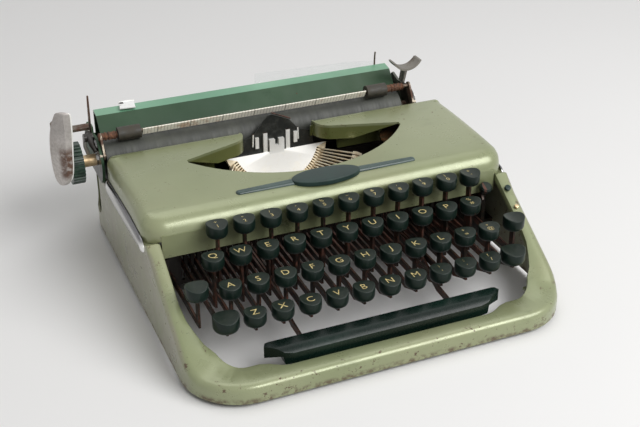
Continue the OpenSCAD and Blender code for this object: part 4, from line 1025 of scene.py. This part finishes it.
class TYPEWRITER_OT_bail(bpy.types.Operator):
    """Finishes the paper bail with its ruled strip and rollers"""

    bl_idname = "typewriter.bail"
    bl_label = "Paper bail"

    def execute(self, context):
        def bail_part(x, y, z):
            reach = np.hypot(y - BAIL_Y, z - BAIL_Z)
            roller = ((x > -123.2) & (x < -105.8)) | ((x > 77.8) & (x < 95.2))
            strip = (x > -105) & (x < 77) & (reach > 1.56)
            return np.select([strip, roller & (reach > 1.7)], [2, 1], 0)

        dress("paper_bail", ["aged steel", "soft rubber", "scale strip"], bail_part)
        s = Surface()
        for start, end in ((-137.4, -123.6), (95.6, 110.0)):
            x = np.linspace(start, end, 46)
            knobs = 2.5 + 0.55 * np.abs(np.sin((x - start) * 0.95)) + 0.2 * np.sin(x * 2.7)
            rod = np.stack([x, np.full(46, BAIL_Y), np.full(46, BAIL_Z)], -1)
            s.grid(tube(rod, knobs, 20))
        s.piece("bail_sleeves", ["rusty rod"], body_of("paper_bail"), "bail_steel", 50)
        return {"FINISHED"}


# The ring that the return pad and its arm follow: middle, foot of the pad, radius
RING_X, RING_Y, PAD_LOW, RING_R = -149.0, 233.7, 62.0, 24.6
PIN_X, PIN_Y = -163.0, 246.0
PAD_CORNERS = [
    (-14.8, 0), (-17.4, 1.6), (-19.2, 6), (-20.0, 14), (-20.3, 26), (-20.8, 42), (-20.9, 56), (-20.7, 58.4),
    (-19.8, 59), (-17.6, 59), (-16.6, 58.4), (-15.8, 56.6), (-13.2, 50), (-10.4, 42), (-8.2, 32), (-7.6, 20),
    (-8.8, 10), (-11.4, 2.6),
]


def return_pad(surface):
    """
    The pad: rings drawn out from one point to its outline and back, wrapped on an upright cylinder.

    A point goes out to the left of the ring's middle by the root of (RING_R - depth) squared less its y
    squared; depth is near 0 on the outer face and 2 mm on the inner one. The row of faces between the two
    full rings takes the near-white nickel finish where the outline runs along the left edge and the foot: a
    painted highlight along the pad's rim.
    """
    edge = smoothed(PAD_CORNERS)
    core = np.array([-14.8, 27.0])
    reach = np.array([0, 0.3, 0.6, 0.85, 0.955, 0.985, 1.0, 1.0, 0.985, 0.955, 0.85, 0.6, 0.3, 0])
    depth = np.array([0, 0, 0, 0, -0.25, -0.35, 0.1, 1.9, 2.35, 2.25, 2, 2, 2, 2])
    y, up = np.moveaxis(core + (edge - core) * reach[:, None, None], -1, 0)
    out = np.sqrt(np.square(RING_R - depth)[:, None] - np.square(y))
    # Painted highlight: rim faces along the left edge and the foot take the near-white nickel finish
    rim = (edge[:, 0] < -18.6) | (edge[:, 1] < 4.0)
    painted_highlight_rim = (np.arange(len(reach) - 1) == 7)[:, None] & rim
    surface.grid(at(RING_X - out, RING_Y + y, PAD_LOW + up), painted_highlight_rim.ravel())


def return_arm(surface):
    """
    The arm and its hub.

    The arm is a rounded box in section, cosine and sine to the power 0.4, carried along 70 degrees of an arc
    that is drawn in by half a sine wave; the hub is a bevelled wall turned about the pin.
    """
    turn = np.radians(np.linspace(136, 206, 40))[:, None]
    a = circle(24)
    across = 2.1 * np.sign(np.cos(a)) * np.abs(np.cos(a)) ** 0.4
    tall = 2.9 * np.sign(np.sin(a)) * np.abs(np.sin(a)) ** 0.4
    way = 21.8 - 4.4 * np.sin(math.pi * (turn - turn[0]) / (turn[-1] - turn[0])) + across
    rows = at(RING_X + way * np.cos(turn), RING_Y + way * np.sin(turn), 97.3 + tall)
    surface.grid(closed(rows), 2)
    wall = np.array([[2.06, 94.3], [4.2, 94.3], [4.5, 94.6], [4.5, 100.0], [4.2, 100.3], [2.06, 100.3]])
    u = circle(40)
    rows = at(PIN_X + wall[:, :1] * np.cos(u), PIN_Y + wall[:, :1] * np.sin(u), wall[:, 1:])
    surface.grid(rows, 2, along=True)


class TYPEWRITER_OT_hand_levers(bpy.types.Operator):
    """Finishes the return lever and the paper release"""

    bl_idname = "typewriter.hand_levers"
    bl_label = "Hand levers"

    def execute(self, context):
        s = Surface()
        return_pad(s)
        return_arm(s)
        finishes = ["pad metal", "nickel", "aged steel"]
        lever = s.piece("return_lever_dressed", finishes, body_of("return_lever"), "lever_aluminium", 50)
        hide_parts("return_lever")
        dress("release_lever", ["cast aluminium"], smooth=40)
        return {"FINISHED"}


LAMP_TARGET = Vector((0, 0, 0.05))
OVERHEAD_SHARE = 0.28
WORLD_LIGHT, WORLD_SEEN = 0.3, 0.8
CAMERA_PLACE = at(-278.8, -523.3, 444.0)
CAMERA_TURN = Matrix(((0.9204, 0.1904, -0.3414), (-0.3909, 0.4483, -0.8038), (0.0, 0.8733, 0.4871)))


def area_lamp(name, place, size, power):
    """A soft lamp at a place in metres that faces the machine."""
    data = bpy.data.lights.new(name, "AREA")
    data.shape = "RECTANGLE"
    data.size, data.size_y = size
    data.energy = power
    lamp = bpy.data.objects.new(name, data)
    bpy.context.scene.collection.objects.link(lamp)
    way = LAMP_TARGET - Vector(place)
    lamp.matrix_world = Matrix.Translation(place) @ way.to_track_quat("-Z", "Y").to_matrix().to_4x4()


def studio_world():
    """A world that lights with WORLD_LIGHT and shows WORLD_SEEN to the camera, mirrors and clear sheets."""
    world = bpy.data.worlds.new("studio")
    world.use_nodes = True
    tree = world.node_tree
    back = tree.nodes["Background"]
    back.inputs["Color"].default_value = (1.0, 0.995, 0.985, 1)
    ray = tree.nodes.new("ShaderNodeLightPath").outputs
    seen = ray["Is Camera Ray"]
    for kind in ("Is Glossy Ray", "Is Transmission Ray"):
        either = tree.nodes.new("ShaderNodeMath")
        either.operation = "MAXIMUM"
        tree.links.new(seen, either.inputs[0])
        tree.links.new(ray[kind], either.inputs[1])
        seen = either.outputs[0]
    level = tree.nodes.new("ShaderNodeMapRange")
    level.inputs["To Min"].default_value = WORLD_LIGHT
    level.inputs["To Max"].default_value = WORLD_SEEN
    tree.links.new(seen, level.inputs["Value"])
    tree.links.new(level.outputs[0], back.inputs["Strength"])
    return world


class TYPEWRITER_OT_stage(bpy.types.Operator):
    """Makes the floor, the lamps, the world and the camera"""

    bl_idname = "typewriter.stage"
    bl_label = "Stage"

    def execute(self, context):
        scene = context.scene
        stage = scene.typewriter_stage
        f = Finish("floor card")
        tone = f.band(f.noise(3, 3, 0.5), 0.3, 0.7)
        colour = tuple(stage.floor_colour)
        f.set(Base_Color=f.mix(tone, (*colour, 1), shaded(colour, 0.99, 0.99, 0.99)), Roughness=0.85)
        u = np.linspace(-6, 6, 13)
        points = np.stack(np.broadcast_arrays(u[:, None], u[None], 0.0), -1)
        faces = Surface().grid(points, around=False).faces[0]
        mesh = bpy.data.meshes.new("floor")
        mesh.from_pydata(points.reshape(-1, 3).tolist(), [], faces.tolist())
        mesh.materials.append(f.material)
        floor = bpy.data.objects.new("floor", mesh)
        scene.collection.objects.link(floor)
        area_lamp("key", (0.74, -1.05, 1.2), (1.5, 0.8), stage.lamp_power)
        area_lamp("overhead", (0.1, 0.5, 1.7), (1.8, 1.2), stage.lamp_power * OVERHEAD_SHARE)
        scene.world = studio_world()
        data = bpy.data.cameras.new("photo_view")
        data.lens = stage.lens
        data.sensor_width = 36
        data.clip_end = 50
        camera = bpy.data.objects.new("photo_view", data)
        scene.collection.objects.link(camera)
        camera.matrix_world = Matrix.Translation(CAMERA_PLACE.tolist()) @ CAMERA_TURN.to_4x4()
        scene.camera = camera
        scene.view_settings.view_transform = "Standard"
        return {"FINISHED"}


OPERATORS = (
    TYPEWRITER_OT_housing,
    TYPEWRITER_OT_trim,
    TYPEWRITER_OT_keys,
    TYPEWRITER_OT_control_keys,
    TYPEWRITER_OT_type_basket,
    TYPEWRITER_OT_carriage,
    TYPEWRITER_OT_bail,
    TYPEWRITER_OT_hand_levers,
    TYPEWRITER_OT_stage,
)


class TYPEWRITER_PT_panel(bpy.types.Panel):
    """Lists the typewriter's pieces and settings"""

    bl_idname = "TYPEWRITER_PT_panel"
    bl_label = "Portable typewriter"
    bl_space_type = "VIEW_3D"
    bl_region_type = "UI"
    bl_category = "Typewriter"

    def draw(self, context):
        scene = context.scene
        for group in (scene.typewriter_body, scene.typewriter_keys, scene.typewriter_stage):
            box = self.layout.box()
            for name in group.__annotations__:
                box.prop(group, name)
        for operator in OPERATORS:
            self.layout.operator(operator.bl_idname)


GROUPS = (TypewriterBody, TypewriterKeys, TypewriterStage)


def register():
    for c in GROUPS + OPERATORS + (TYPEWRITER_PT_panel,):
        bpy.utils.register_class(c)
    bpy.types.Scene.typewriter_body = PointerProperty(type=TypewriterBody)
    bpy.types.Scene.typewriter_keys = PointerProperty(type=TypewriterKeys)
    bpy.types.Scene.typewriter_stage = PointerProperty(type=TypewriterStage)


def unregister():
    del bpy.types.Scene.typewriter_body
    del bpy.types.Scene.typewriter_keys
    del bpy.types.Scene.typewriter_stage
    for c in reversed(GROUPS + OPERATORS + (TYPEWRITER_PT_panel,)):
        bpy.utils.unregister_class(c)


def main():
    """Makes every piece and the stage."""
    register()
    for operator in OPERATORS:
        group, name = operator.bl_idname.split(".")
        getattr(getattr(bpy.ops, group), name)()


if __name__ == "__main__":
    main()
